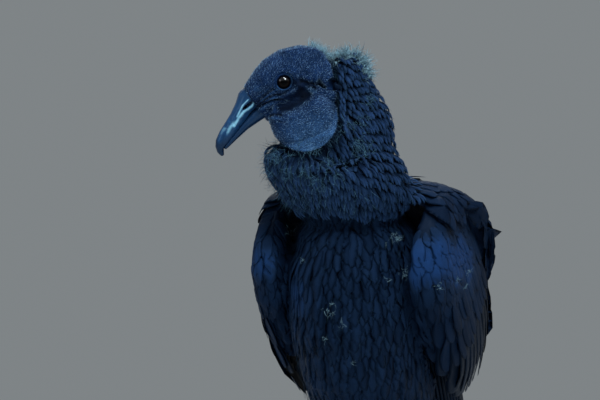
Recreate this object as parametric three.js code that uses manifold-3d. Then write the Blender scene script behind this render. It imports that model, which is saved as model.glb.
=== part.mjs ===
// A young black vulture standing on both feet, life size, head turned to its right.
// Millimetres, +Z up. The bird faces -Y and its left side is +X. The floor is z = 0,
// and the finished group is centred over the origin.
//
// Every form is a sweep: a SphereGeometry whose rings are carried along a smooth spine, so each
// solid is closed and has rounded ends. Neighbours are parted by thin cuts of SEAM millimetres.

import * as THREE from "three";
import { mergeVertices } from "three/addons/utils/BufferGeometryUtils.js";
import Module from "manifold-3d";

const wasm = await Module();
wasm.setup();

const SEAM = 0.4; // gap between neighbouring parts
const EYE_HEIGHT = 523; // height of the eyes over the floor
const HEAD_TURN = -72; // degrees the head is turned to the bird's right
const HEAD_DROP = 45; // degrees the bill points below the horizontal
const HEAD_PLACE = new THREE.Vector3(-47, -55, EYE_HEIGHT); // midway between the eyes
const EYE_RADIUS = 6.6;
const EYE_OFFSET = 13.6; // centre of each eyeball from the head's mid plane
const BILL_BASE = 27; // where horn meets skin, forward of the eyes
const NECK_BASE = 430; // height at which the ruff ends over the breast
const FOOT_SPREAD = 44; // each foot's centre from the mid plane
const FOOT_PLACE = 36; // the toes' root joint, behind the mid line of the shoulders
const SHANK_LENGTH = 80;
const FLOOR_FLAT = 0.6; // depth of the flats under the toes
const HEEL = [FOOT_SPREAD - 2, FOOT_PLACE + 26, SHANK_LENGTH + 6];
const ANKLE = [FOOT_SPREAD, FOOT_PLACE, 9];

// ---------------------------------------------------------------- tools

const vector = (values) => new THREE.Vector3(...values);

// A smooth curve through one vector of each station.
const curveOf = (stations, read) =>
  new THREE.CatmullRomCurve3(stations.map((station) => vector(read(station))));

// Carries the rings of a sphere along t = 0 to 1. pointAt(t, angle, cap) gives the place of a
// ring point; cap falls from 1 in the middle to 0 at both ends.
function sweep(pointAt, { around = 20, along = 14, blunt = 3 } = {}) {
  const geometry = new THREE.SphereGeometry(1, around, along);
  const { position, uv } = geometry.attributes;
  for (let i = 0; i < position.count; i++) {
    const ring = Math.round((1 - uv.getY(i)) * along);
    const end = ring === 0 ? -1 : ring === along ? 1 : -Math.cos((Math.PI * ring) / along);
    const angle = ((Math.round(uv.getX(i) * around) % around) * 2 * Math.PI) / around;
    const cap = Math.pow(1 - Math.pow(Math.abs(end), blunt), 1 / blunt);
    const place = pointAt((1 + end) / 2, angle, cap);
    position.setXYZ(i, place.x, place.y, place.z);
  }
  return geometry;
}

// A rounded body along a spine. Each station has its centre (at), half width (wide), and half
// depths towards the back and the front. Rings face along the spine unless facing says
// otherwise, and side is the direction of the half width.
function bodyForm(stations, { ripple = () => 0, ...rings } = {}) {
  const spine = curveOf(stations, (s) => s.at);
  const sizes = curveOf(stations, (s) => [s.wide, s.back ?? s.wide, s.front ?? s.back ?? s.wide]);
  const sides = curveOf(stations, (s) => s.side ?? [1, 0, 0]);
  const facings = stations[0].facing && curveOf(stations, (s) => s.facing);
  return sweep((t, angle, cap) => {
    const facing = facings ? facings.getPoint(t).normalize() : spine.getTangent(t);
    const side = sides.getPoint(t);
    side.addScaledVector(facing, -side.dot(facing)).normalize();
    const back = new THREE.Vector3().crossVectors(side, facing);
    const size = sizes.getPoint(t);
    const swell = cap * (1 + ripple(t, angle));
    return spine
      .getPoint(t)
      .addScaledVector(side, Math.cos(angle) * size.x * swell)
      .addScaledVector(back, Math.sin(angle) * (Math.sin(angle) > 0 ? size.y : size.z) * swell);
  }, rings);
}

// A curved blade such as a wing: each station has its leading edge (lead), trailing edge
// (trail), the arch of its outer face (bulge), the share of that arch its inner face follows
// (hollow) and its half thickness. A larger square makes the arch blunter, and taper thins the
// blade from the leading edge to the trailing one.
function bladeForm(
  stations,
  { square = 2.6, taper = 0, outward = [1, 0, 0.2], ...rings } = {},
) {
  const leads = curveOf(stations, (s) => s.lead);
  const trails = curveOf(stations, (s) => s.trail);
  const arches = curveOf(stations, (s) => [s.bulge, s.hollow ?? 0.35, s.thick]);
  return sweep((t, angle, cap) => {
    const lead = leads.getPoint(t);
    const chord = trails.getPoint(t).sub(lead);
    const middle = lead.addScaledVector(chord, 0.5);
    const tangent = leads.getTangent(t).add(trails.getTangent(t)).normalize();
    const out = new THREE.Vector3().crossVectors(chord, tangent).normalize();
    if (out.dot(vector(outward)) < 0) out.negate();
    const arch = arches.getPoint(t);
    const follow = Math.sin(angle) > 0 ? 1 : arch.y;
    const along = Math.sign(Math.cos(angle)) * Math.abs(Math.cos(angle)) ** (2 / square);
    const rise = Math.max(0, 1 - Math.abs(along) ** square) ** (1 / square);
    return middle
      .addScaledVector(chord, (along * cap) / 2)
      .addScaledVector(out, arch.x * (follow * rise * cap + 1 - cap))
      .addScaledVector(out, Math.sin(angle) * arch.z * cap * (1 - taper * along));
  }, rings);
}

// For each corner of a closed geometry, the move that carries all the faces round it outwards
// by about 1 mm. Faces count by their angle at the corner, and a sharp edge moves further.
function pushesOf(merged) {
  const { position } = merged.attributes;
  const index = merged.index.array;
  const corner = (i) => new THREE.Vector3().fromBufferAttribute(position, i);
  const faces = [];
  const pushes = Array.from({ length: position.count }, () => new THREE.Vector3());
  for (let i = 0; i < index.length; i += 3) {
    const [a, b, c] = [0, 1, 2].map((k) => index[i + k]);
    const normal = new THREE.Triangle(corner(a), corner(b), corner(c)).getNormal(
      new THREE.Vector3(),
    );
    for (const [at, next, last] of [[a, b, c], [b, c, a], [c, a, b]]) {
      const angle = corner(next).sub(corner(at)).angleTo(corner(last).sub(corner(at)));
      pushes[at].addScaledVector(normal, angle);
      faces.push([at, normal]);
    }
  }
  for (const push of pushes) push.normalize();
  const least = pushes.map(() => 1);
  for (const [at, normal] of faces) least[at] = Math.min(least[at], normal.dot(pushes[at]));
  return pushes.map((push, i) => push.divideScalar(Math.max(0.4, least[i])));
}

// A closed geometry as a manifold-3d solid, in the frame that matrix places it in. Its faces
// are first moved outwards by grow, which is how the thin cuts between neighbours are made.
function solidOf(geometry, { grow = 0, matrix = new THREE.Matrix4() } = {}) {
  const bare = geometry.clone().deleteAttribute("normal").deleteAttribute("uv");
  const merged = mergeVertices(bare, 1e-3);
  const pushes = pushesOf(merged);
  const index = Uint32Array.from(merged.index.array);
  const build = (outwards) => {
    const places = new Float32Array(pushes.length * 3);
    pushes.forEach((push, i) => {
      const place = new THREE.Vector3().fromBufferAttribute(merged.attributes.position, i);
      place.addScaledVector(push, grow * outwards).applyMatrix4(matrix).toArray(places, 3 * i);
    });
    return new wasm.Manifold(
      new wasm.Mesh({ numProp: 3, vertProperties: places, triVerts: index }),
    );
  };
  const solid = build(1);
  if (solid.volume() > 0) return solid;
  for (let i = 0; i < index.length; i += 3) index.subarray(i, i + 2).reverse();
  return build(-1);
}

function geometryOf(solid) {
  const mesh = solid.getMesh();
  const places = new Float32Array(mesh.numVert * 3);
  for (let i = 0; i < mesh.numVert; i++) {
    places.set(mesh.vertProperties.subarray(i * mesh.numProp, i * mesh.numProp + 3), i * 3);
  }
  const geometry = new THREE.BufferGeometry();
  geometry.setAttribute("position", new THREE.BufferAttribute(places, 3));
  geometry.setIndex(new THREE.BufferAttribute(Uint32Array.from(mesh.triVerts), 1));
  geometry.computeVertexNormals();
  return geometry;
}

// The largest piece of a solid that a cut may have left in several.
const mainPiece = (solid) =>
  solid.decompose().reduce((best, piece) => (piece.volume() > best.volume() ? piece : best));

// A grown copy of a form, which cuts its neighbour SEAM clear of it.
const cutterOf = (form, matrix) => solidOf(form, { grow: SEAM, matrix });

// Both sides of a cut plane, SEAM apart: [the side its normal points to, the other].
function parted(solid, plane) {
  const facing = vector(plane.normal).normalize();
  const level = facing.dot(vector(plane.point));
  return [
    mainPiece(solid.trimByPlane(facing.toArray(), level + SEAM / 2)),
    mainPiece(solid.trimByPlane(facing.clone().negate().toArray(), -level + SEAM / 2)),
  ];
}

const mirrored = (solid) => solid.mirror([1, 0, 0]);

// ---------------------------------------------------------------- materials

const finish = (color, roughness) =>
  new THREE.MeshStandardMaterial({ color, roughness, metalness: 0, flatShading: true });
const materials = {
  plumage: finish(0x151a26, 0.62),
  flight: finish(0x10141d, 0.5),
  headSkin: finish(0x2f3c58, 0.8),
  horn: finish(0x2c3a52, 0.35),
  eye: finish(0x0a0806, 0.08),
  legSkin: finish(0x6c7079, 0.75),
  claw: finish(0x14151a, 0.4),
};

const vulture = new THREE.Group();
const headGroup = new THREE.Group();
vulture.add(headGroup);

function add(name, solid, material, group = vulture) {
  const mesh = new THREE.Mesh(geometryOf(solid), material);
  mesh.name = name;
  group.add(mesh);
}

// ---------------------------------------------------------------- head, bill and eyes
// Modelled in the head's own frame, with its origin midway between the eyes, then placed.

headGroup.rotation.set(
  THREE.MathUtils.degToRad(HEAD_DROP),
  0,
  THREE.MathUtils.degToRad(HEAD_TURN),
  "ZXY",
);
headGroup.position.copy(HEAD_PLACE);
headGroup.updateMatrixWorld(true);
const headMatrix = headGroup.matrixWorld.clone();

// A station of the head: forward of the eyes, height over them, half width, half depth below
// (back) and above (front).
const headStation = (forward, height, wide, back, front = back) => ({
  at: [0, -forward, height],
  wide,
  back,
  front,
});

// Skull from the back of the crown to the root of the bill.
const skullStations = [
  headStation(-37, -12, 14, 11, 7),
  headStation(-31, -5.5, 18.5, 17, 12.4),
  headStation(-16, 0, 20.5, 20.8, 20),
  headStation(2, 2.5, 19.5, 19.8, 21.8),
  headStation(15, 4, 15.5, 16.6, 19.4),
  headStation(26, 5.5, 12.2, 19.5, 17.3),
  headStation(33, 5.5, 14, 24, 19.5),
];
// Jowl: the rounded, short-haired cheek and throat below the skull.
const jowlStations = [
  headStation(-8, -4, 18, 22),
  headStation(2, -20, 24.5, 27, 26),
  headStation(12, -34, 26, 27, 27.5),
  headStation(19.5, -43.5, 23.5, 23, 24.5),
  headStation(24.5, -51, 15, 14, 15.5),
];
// Bill: the upper half ends in a down-curved hook that overlaps the lower half.
const upperBillStations = [
  headStation(14, 9, 10, 10.5),
  headStation(27, 9.6, 9.4, 9.6, 11.2),
  headStation(38, 7.7, 7.8, 6.9, 8),
  headStation(50, 4.8, 6.3, 6.4, 6.8),
  headStation(61, 3.2, 5.8, 6.8, 6.3),
  headStation(69.5, 1.6, 5.2, 6.6, 4.8),
  headStation(74.6, -2, 3.6, 4, 3.2),
  headStation(76.4, -7.4, 1.6, 1.6),
];
const lowerBillStations = [
  headStation(12, -7, 9, 6),
  headStation(28, -4.9, 7.6, 5.8),
  headStation(40, -3.4, 5.8, 3.9),
  headStation(54, -3.6, 4.8, 2.4),
  headStation(66, -4.2, 4.2, 1.6),
  headStation(72, -4.4, 3, 1.2),
];
const skullForm = bodyForm(skullStations, { around: 18, along: 12, blunt: 2.6 });
const jowlForm = bodyForm(jowlStations, { around: 16, along: 9, blunt: 2.2 });
const upperBillForm = bodyForm(upperBillStations, { around: 12, along: 14, blunt: 6 });
const lowerBillForm = bodyForm(lowerBillStations, { around: 10, along: 8, blunt: 6 });
const eyeForm = new THREE.SphereGeometry(EYE_RADIUS, 12, 8)
  .rotateZ(Math.PI / 2)
  .translate(EYE_OFFSET, 0, 0);
// The nostril is a slit-like pit on each side of the bill, and the ear is a shallow slanting pit.
const nostrilPit = new THREE.SphereGeometry(1, 8, 6)
  .scale(3.6, 4.8, 0.9)
  .rotateX(THREE.MathUtils.degToRad(-6))
  .translate(7.6, -34.5, 7.6);
const earPit = new THREE.SphereGeometry(1, 8, 6)
  .scale(3.2, 2.2, 5.4)
  .rotateX(THREE.MathUtils.degToRad(30))
  .translate(21, 17, -10);

const billLine = { normal: [0, -1, 0.18], point: [0, -BILL_BASE, 4] };
const headFlesh = parted(solidOf(skullForm).add(solidOf(jowlForm)), billLine)[1];
const pits = [cutterOf(eyeForm), solidOf(earPit)];
const upperBill = solidOf(upperBillForm)
  .subtract(cutterOf(lowerBillForm))
  .subtract(solidOf(nostrilPit))
  .subtract(mirrored(solidOf(nostrilPit)));

add(
  "head",
  pits.reduce((solid, pit) => solid.subtract(pit).subtract(mirrored(pit)), headFlesh),
  materials.headSkin,
  headGroup,
);
add("bill_upper", parted(upperBill, billLine)[0], materials.horn, headGroup);
add("bill_lower", parted(solidOf(lowerBillForm), billLine)[0], materials.horn, headGroup);
add("eye_left", solidOf(eyeForm), materials.eye, headGroup);
add("eye_right", mirrored(solidOf(eyeForm)), materials.eye, headGroup);

// ---------------------------------------------------------------- neck and trunk

const headSide = [0.951, 0.309, 0]; // along the head's fore-and-aft line, seen from above
const down = [0, 0, -1];

// The neck arches over from the back of the skull and widens down to the ruff.
const neckStations = [
  { at: [-22, -47, 531], wide: 15, back: 13, side: [0, 0, 1], facing: [1, 0.3, 0] },
  { at: [-3, -41, 530], wide: 20.5, back: 14, side: [0.7, 0.23, 0.68], facing: [0.7, 0.2, -0.7] },
  { at: [0, -39, 522], wide: 18.5, back: 16, side: [0.95, 0.3, 0.1], facing: [0.1, 0, -1] },
  { at: [1, -37, 511], wide: 25, back: 19, side: headSide, facing: down },
  { at: [2, -36, 496], wide: 32, back: 21.5, front: 23, side: headSide, facing: down },
  { at: [-8, -38, 481], wide: 44, back: 28, front: 30.5, side: headSide, facing: down },
  { at: [-13, -39, 468], wide: 51, back: 36, front: 39.5, side: headSide, facing: down },
  { at: [-8, -36, 448], wide: 56, back: 44, front: 46, side: [0.97, 0.25, 0], facing: down },
  { at: [0, -28, 428], wide: 54, back: 48, front: 48, side: [1, 0.1, 0], facing: down },
  { at: [0, -20, 404], wide: 46, back: 46, front: 44, side: [1, 0, 0], facing: down },
];
const neckForm = bodyForm(neckStations, { around: 18, along: 18, blunt: 5 });

const trunkStations = [
  { at: [0, -14, 438], wide: 40, back: 38, front: 34 },
  { at: [0, -10, 414], wide: 53, back: 62, front: 58 },
  { at: [0, -6, 376], wide: 56, back: 76, front: 71 },
  { at: [0, 8, 326], wide: 55, back: 78, front: 76 },
  { at: [0, 28, 278], wide: 52, back: 72, front: 64 },
  { at: [0, 56, 234], wide: 45, back: 52, front: 44 },
  { at: [0, 88, 202], wide: 33, back: 30, front: 26 },
  { at: [0, 116, 182], wide: 20, back: 14, front: 14 },
];
const trunkForm = bodyForm(trunkStations, { around: 20, along: 14, blunt: 2.6 });

const headCutter = cutterOf(skullForm, headMatrix).add(cutterOf(jowlForm, headMatrix));
const [neck, trunk] = parted(
  solidOf(neckForm).subtract(headCutter).add(solidOf(trunkForm)),
  { normal: [0, -0.28, 1], point: [0, -30, NECK_BASE] },
);
const [neckUpper, neckLower] = parted(neck, {
  normal: [-0.25, 0.1, 1],
  point: [-4, -38, NECK_BASE + 48],
});
add("neck_upper", neckUpper, materials.plumage);
add("neck_lower", neckLower, materials.plumage);
add("trunk", trunk, materials.plumage);

// ---------------------------------------------------------------- wings

// Arm and secondaries: a blunt-fronted lobe from the wrist back over the flank.
const lobeStations = [
  { lead: [60, -34, 428], trail: [60, 40, 436], bulge: 8, thick: 6 },
  { lead: [60, -52, 398], trail: [65, 70, 416], bulge: 10, thick: 9 },
  { lead: [60, -54, 364], trail: [65, 96, 388], bulge: 12, thick: 10 },
  { lead: [58, -26, 326], trail: [65, 118, 352], bulge: 12, thick: 10 },
  { lead: [58, 10, 291], trail: [62, 124, 316], bulge: 12, thick: 9 },
  { lead: [55, 50, 265], trail: [56, 120, 286], bulge: 8, thick: 4 },
];
// Primaries: a long stiff blade under the lobe that reaches the tail.
const handStations = [
  { lead: [49, -40, 368], trail: [58, 0, 392], bulge: 10, thick: 5 },
  { lead: [45, 0, 318], trail: [57, 50, 344], bulge: 12, thick: 5 },
  { lead: [43, 46, 266], trail: [52, 92, 296], bulge: 11, thick: 4 },
  { lead: [39, 98, 206], trail: [47, 138, 238], bulge: 9, thick: 3 },
  { lead: [35, 150, 148], trail: [41, 180, 174], bulge: 6, thick: 2.2 },
  { lead: [32, 206, 90], trail: [34, 220, 102], bulge: 2, thick: 1.4 },
];
// Scapulars: a shield of long shoulder feathers, from beside the neck back over the wing.
const capeStations = [
  { lead: [34, -34, 430], trail: [60, -34, 424], bulge: 2, thick: 4 },
  { lead: [20, 8, 439], trail: [72, 0, 420], bulge: 8, thick: 5 },
  { lead: [14, 46, 430], trail: [90, 54, 411], bulge: 13, thick: 5 },
  { lead: [15, 76, 396], trail: [84, 86, 386], bulge: 14, thick: 5 },
  { lead: [22, 96, 358], trail: [75, 108, 352], bulge: 12, thick: 4 },
  { lead: [36, 110, 324], trail: [60, 120, 321], bulge: 6, thick: 2 },
];
const lobeForm = bladeForm(lobeStations, {
  around: 18,
  along: 12,
  blunt: 3,
  square: 3.4,
  taper: 0.6,
});
const handForm = bladeForm(handStations, { around: 10, along: 12, blunt: 4, square: 2.2 });
const capeForm = bladeForm(capeStations, {
  around: 14,
  along: 12,
  blunt: 4,
  square: 2.2,
  outward: [0.4, 0.6, 1],
});
const tailStations = [
  { lead: [-20, 104, 196], trail: [20, 104, 196], bulge: 6, thick: 7 },
  { lead: [-26, 150, 150], trail: [26, 150, 150], bulge: 6, thick: 5 },
  { lead: [-31, 196, 104], trail: [31, 196, 104], bulge: 5, thick: 3 },
  { lead: [-33, 228, 74], trail: [33, 228, 74], bulge: 4, thick: 2 },
];
const tailForm = bladeForm(tailStations, {
  around: 12,
  along: 8,
  blunt: 7,
  square: 2.6,
  outward: [0, 1, 1],
});

const bodyCutter = cutterOf(neckForm).add(cutterOf(trunkForm));
// A piece of the left side, or its mirror image, cut clear of neck and trunk.
const clearOfBody = (solid, side) =>
  mainPiece((side === "left" ? solid : mirrored(solid)).subtract(bodyCutter));

const lobeWhole = solidOf(lobeForm).subtract(cutterOf(capeForm));
const handWhole = solidOf(handForm).subtract(cutterOf(lobeForm));
// The lobe is parted where the coverts of the arm end and the bare secondaries begin.
const covertLine = { normal: [0, -0.62, 0.78], point: [0, 50, 350] };
for (const side of ["left", "right"]) {
  const [arm, secondaries] = parted(clearOfBody(lobeWhole, side), covertLine);
  add(`scapulars_${side}`, clearOfBody(solidOf(capeForm), side), materials.plumage);
  add(`wing_arm_${side}`, arm, materials.plumage);
  add(`wing_secondaries_${side}`, secondaries, materials.flight);
  add(`wing_primaries_${side}`, clearOfBody(handWhole, side), materials.flight);
}

const handCutter = cutterOf(handForm);
const tailPiece = mainPiece(
  solidOf(tailForm).subtract(bodyCutter).subtract(handCutter).subtract(mirrored(handCutter)),
);
add("tail", tailPiece, materials.flight);

// ---------------------------------------------------------------- legs and feet

const thighStations = [
  { at: [32, 10, 254], wide: 24, back: 36 },
  { at: [37, 13, 212], wide: 27, back: 38 },
  { at: [41, 31, 166], wide: 22, back: 29 },
  { at: [42, 49, 126], wide: 14, back: 16 },
  { at: HEEL, wide: 7.4, back: 8 },
];
const shankStations = [
  { at: [HEEL[0], HEEL[1] + 2, HEEL[2] + 7], wide: 6, back: 6.5 },
  { at: HEEL, wide: 6.4, back: 7 },
  { at: [HEEL[0] + 0.6, HEEL[1] - 8, HEEL[2] - 22], wide: 4.6, back: 5 },
  { at: [ANKLE[0] - 0.6, ANKLE[1] + 8, ANKLE[2] + 22], wide: 4.5, back: 4.9 },
  { at: ANKLE, wide: 6.6, back: 6.4 },
];
const thighForm = bodyForm(thighStations, { around: 14, along: 9, blunt: 3 });
const shankForm = bodyForm(shankStations, { around: 10, along: 10, blunt: 4 });

// Toes by name: heading from straight ahead in degrees (outwards is positive), length without
// the claw, radius at the root, number of joint pads and length of the claw.
const TOE_TAPER = 0.28;
const PAD_SWELL = 0.09;
const toes = {
  hind: { heading: 168, length: 19, radius: 4.4, pads: 1, claw: 10 },
  inner: { heading: -30, length: 38, radius: 4.8, pads: 2, claw: 13 },
  middle: { heading: 2, length: 60, radius: 5.2, pads: 3, claw: 14 },
  outer: { heading: 34, length: 42, radius: 4.6, pads: 3, claw: 11 },
};

// A point of a toe: forward along its heading from the ankle, at a height.
function toePoint({ heading }, forward, height) {
  const turn = THREE.MathUtils.degToRad(heading);
  return [
    ANKLE[0] + Math.sin(turn) * forward,
    ANKLE[1] - Math.cos(turn) * forward,
    height,
  ];
}

function toeForm(toe) {
  const stations = [0, 0.3, 0.6, 0.85, 1].map((share) => {
    const radius = toe.radius * (1 - TOE_TAPER * share);
    const height = radius - FLOOR_FLAT + (share === 0 ? 3 : 0);
    return { at: toePoint(toe, toe.length * share, height), wide: radius, back: radius };
  });
  const ripple = (t) => PAD_SWELL * Math.cos(2 * Math.PI * toe.pads * t);
  return bodyForm(stations, { around: 8, along: 8, blunt: 4, ripple });
}

function clawForm(toe) {
  const reach = toe.length + toe.claw;
  const root = toe.radius * 0.62;
  const stations = [
    { at: toePoint(toe, toe.length - 3, root * 1.15), wide: root * 0.86, back: root },
    { at: toePoint(toe, toe.length + toe.claw * 0.3, root * 1.5), wide: root * 0.72, back: root * 0.8 },
    { at: toePoint(toe, toe.length + toe.claw * 0.72, root * 1.05), wide: root * 0.48, back: root * 0.5 },
    { at: toePoint(toe, reach, 1.1), wide: 0.7, back: 0.7 },
  ];
  return solidOf(bodyForm(stations, { around: 6, along: 6, blunt: 6 }));
}

const underFloor = solidOf(new THREE.BoxGeometry(400, 600, 40).translate(0, 0, -20));
const footWhole = Object.values(toes)
  .map((toe) => solidOf(toeForm(toe)))
  .reduce((sum, toe) => sum.add(toe))
  .subtract(underFloor);
const shankCutter = cutterOf(shankForm);
const thighWhole = solidOf(thighForm).subtract(shankCutter).subtract(handCutter);

const legPieces = {
  shank: [solidOf(shankForm), materials.legSkin],
  foot: [mainPiece(footWhole.subtract(shankCutter)), materials.legSkin],
};
for (const [name, toe] of Object.entries(toes)) {
  legPieces[`claw_${name}`] = [
    mainPiece(clawForm(toe).subtract(cutterOf(toeForm(toe))).subtract(underFloor)),
    materials.claw,
  ];
}
for (const side of ["left", "right"]) {
  add(`thigh_${side}`, clearOfBody(thighWhole, side), materials.plumage);
  for (const [name, [piece, material]] of Object.entries(legPieces)) {
    add(`${name}_${side}`, side === "left" ? piece : mirrored(piece), material);
  }
}

// The origin is on the floor under the middle of the bird's outline.
const outline = new THREE.Box3().setFromObject(vulture, true);
const middle = outline.getCenter(new THREE.Vector3());
vulture.position.set(-middle.x, -middle.y, 0);

export default vulture;
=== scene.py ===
import math

import bmesh
import bpy
import numpy as np
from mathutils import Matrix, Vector, interpolate
from mathutils.bvhtree import BVHTree


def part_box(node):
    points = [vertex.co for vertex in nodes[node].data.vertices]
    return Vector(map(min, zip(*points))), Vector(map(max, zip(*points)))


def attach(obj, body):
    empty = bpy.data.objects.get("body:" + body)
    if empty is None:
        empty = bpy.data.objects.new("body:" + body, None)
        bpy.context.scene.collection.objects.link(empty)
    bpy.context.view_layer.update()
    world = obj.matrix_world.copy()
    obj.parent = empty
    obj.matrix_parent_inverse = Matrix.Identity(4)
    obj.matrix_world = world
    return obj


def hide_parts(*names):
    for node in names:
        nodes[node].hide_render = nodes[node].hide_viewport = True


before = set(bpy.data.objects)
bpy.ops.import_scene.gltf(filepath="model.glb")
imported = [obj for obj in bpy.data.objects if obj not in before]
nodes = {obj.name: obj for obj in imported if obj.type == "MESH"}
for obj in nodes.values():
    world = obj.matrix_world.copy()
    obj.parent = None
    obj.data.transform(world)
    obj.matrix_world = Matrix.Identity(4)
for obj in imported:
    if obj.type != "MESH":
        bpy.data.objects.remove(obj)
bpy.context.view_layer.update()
sides = {"left": 1, "right": -1}


def unit(vectors):
    return vectors / np.maximum(np.linalg.norm(vectors, axis=-1, keepdims=True), 1e-12)


def tangential(vectors, ups):
    return vectors - ups * np.sum(vectors * ups, axis=-1, keepdims=True)


def ease(values, low, high):
    share = np.clip((values - low) / (high - low), 0, 1)
    return share * share * (3 - 2 * share)


# The head's own axes: forward along the bill, up through the crown and out to the left, in mm
# from midway between the eyes.
eyeCentres = {side: np.mean([np.array(corner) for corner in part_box(f"eye_{side}")], axis=0) for side in sides}
headPlace = (eyeCentres["left"] + eyeCentres["right"]) / 2
headLeft = unit(eyeCentres["left"] - eyeCentres["right"])
headLevel = np.cross(headLeft, (0, 0, 1))
headDrop = math.radians(45)
headForward = headLevel * math.cos(headDrop) - np.array((0, 0, 1)) * math.sin(headDrop)
headUp = headLevel * math.sin(headDrop) + np.array((0, 0, 1)) * math.cos(headDrop)
headAxes = np.stack((headForward, headUp, headLeft))
headBack = -headLevel
eyeSource = np.array((-47.0, -55.0, 523.0))     # the same place in the part's own millimetres
sourceShift = headPlace * 1000 - eyeSource


def place(x, y, z):
    return (np.array((x, y, z)) + sourceShift) / 1000


def placeLine(spots, sign=1):
    return np.array([place(sign * x, y, z) for x, y, z in spots])


def toSource(points):
    return points * 1000 - sourceShift


def toHead(points):
    return (points - headPlace) @ headAxes.T * 1000


def fromHead(local):
    return local / 1000 @ headAxes + headPlace


# ---- materials

class Shading:
    # a material's nodes: each method adds one and gives back its output
    def __init__(self, name, sockets):
        self.material = bpy.data.materials.new(name)
        self.material.use_nodes = True
        self.tree = self.material.node_tree
        self.shader = self.tree.nodes["Principled BSDF"]
        self.feed(self.shader, sockets)

    def feed(self, node, inputs):
        for key, value in inputs.items():
            if isinstance(value, bpy.types.NodeSocket):
                self.tree.links.new(value, node.inputs[key])
            else:
                node.inputs[key].default_value = (*value, 1) if isinstance(value, tuple) else value

    def add(self, kind, inputs, output=0, **settings):
        node = self.tree.nodes.new("ShaderNode" + kind)
        for key, value in settings.items():
            setattr(node, key, value)
        self.feed(node, inputs)
        return node.outputs[output]

    def calc(self, operation, first, second=0.0, clamp=False):
        return self.add("Math", {0: first, 1: second}, operation=operation, use_clamp=clamp)

    def times(self, first, second, clamp=False):
        return self.calc("MULTIPLY", first, second, clamp)

    def plus(self, first, second, clamp=False):
        return self.calc("ADD", first, second, clamp)

    def mix(self, share, first, second):
        return self.add("Mix", {0: share, 6: first, 7: second}, 2, data_type="RGBA")

    def remap(self, value, low, high=1.0, newLow=0.0, newHigh=1.0):
        return self.add("MapRange", {
            "Value": value, "From Min": low, "From Max": high, "To Min": newLow, "To Max": newHigh})

    def read(self, name):
        return self.add("Attribute", {}, "Fac", attribute_name=name)

    def place(self):
        return self.add("TexCoord", {}, "Object")

    def noise(self, scale, detail=3.0, roughness=0.55):
        return self.add("TexNoise", {
            "Vector": self.place(), "Scale": scale, "Detail": detail, "Roughness": roughness}, "Fac")

    def finish(self, colour, height=None, strength=0.0, distance=0.0):
        self.feed(self.shader, {"Base Color": colour})
        if height is not None:
            self.feed(self.shader, {"Normal": self.add(
                "Bump", {"Height": height, "Strength": strength, "Distance": distance}, "Normal")})
        return self.material


def vaneMaterial(name, look):
    shading = Shading(name, {
        "Roughness": look["roughness"], "Sheen Weight": look["sheen"], "Sheen Roughness": 0.45,
        "Sheen Tint": (0.42, 0.62, 1.0), "Specular IOR Level": look["gloss"], "Specular Tint": look["glint"]})
    calc, times = shading.calc, shading.times
    vane = shading.add("SeparateXYZ", {"Vector": shading.add("UVMap", {}, "UV", uv_map="Vane")}).node
    along, across = vane.outputs[0], calc("ABSOLUTE", vane.outputs[1])
    # barbs slope away from the shaft on both sides
    slope = calc("SUBTRACT", times(along, look["barbs"]), times(across, look["barbs"] * 0.34))
    shaft = calc("LESS_THAN", across, look["shaft"])
    tone = shading.read("tone")
    share = shading.plus(times(tone, 0.62), times(shading.noise(46.0), 0.38), True)
    # painted shade: each feather darkens towards its root, where the feathers above overlap and shade it
    share = times(share, shading.remap(along, 0.4, 0.9, 1 - look["shade"]))
    ground = shading.mix(share, look["dark"], look["light"])
    # painted sky sheen: a tone over 1 marks feathers that catch the sky, and mixes in a bluer colour
    ground = shading.mix(calc("SUBTRACT", tone, 1.0, True), ground, look["paintedSheen"])
    rim = times(calc("POWER", across, 3.0), look["rimShare"], True)
    tip = times(calc("POWER", along, 5.0), look["rimShare"], True)
    ground = shading.mix(calc("MAXIMUM", rim, tip), ground, look["rim"])
    ground = shading.mix(times(shaft, 0.6), ground, look["rim"])
    height = shading.plus(times(calc("SINE", slope), 0.5), times(shaft, 1.6))
    return shading.finish(ground, height, look["bump"], 0.0003)


def skinMaterial(look):
    shading = Shading("bareSkin", {
        "Roughness": look["roughness"], "Specular IOR Level": look["gloss"], "Specular Tint": look["glint"]})
    mix, times = shading.mix, shading.times
    bare, leg, tone, cheek = (shading.read(name) for name in ("bare", "leg", "tone", "cheek"))
    fine = shading.noise(look["grain"], 2.0, 0.6)
    mottle = shading.plus(times(fine, 0.72), times(shading.noise(95.0, 3.0, 0.5), 0.28))
    dark = mix(cheek, look["crownDark"], look["cheekDark"])
    light = mix(cheek, look["crownLight"], look["cheekLight"])
    # tone below 1 mixes in the furrow colour: painted shade in creases and hollows
    face = mix(tone, look["furrow"], mix(shading.remap(mottle, 0.40, 0.66), dark, light))
    cells = shading.add("TexVoronoi", {"Scale": look["scales"], "Vector": shading.place()}, "Distance",
                        feature="DISTANCE_TO_EDGE")
    scale = shading.remap(cells, 0.02, 0.16)
    shank = mix(times(scale, tone), look["legDark"], look["legLight"])
    height = shading.plus(times(fine, shading.calc("SUBTRACT", 1.0, leg)), times(scale, leg))
    # skin under the coat takes the under colour: its own near-black, and partly painted shade between feathers
    return shading.finish(mix(leg, mix(bare, look["under"], face), shank), height, 0.7, 0.0008)


def hornMaterial(name, look):
    shading = Shading(name, {
        "Roughness": look["roughness"], "Coat Weight": look["coat"], "Coat Roughness": 0.14,
        "Coat Tint": look["glint"], "Specular IOR Level": look["gloss"], "Specular Tint": look["glint"]})
    streaks = shading.remap(shading.noise(260.0, 4.0, 0.6), 0.3, 0.7, 0.8, 1.1)
    share = shading.times(streaks, shading.read("tone"), True)
    ground = shading.mix(shading.remap(share, 0.0, 0.5), look["dark"], look["middle"])
    colour = shading.mix(shading.remap(share, 0.5), ground, look["light"])
    return shading.finish(colour, shading.noise(420.0, 3.0, 0.6), look["bump"], 0.0003)


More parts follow.
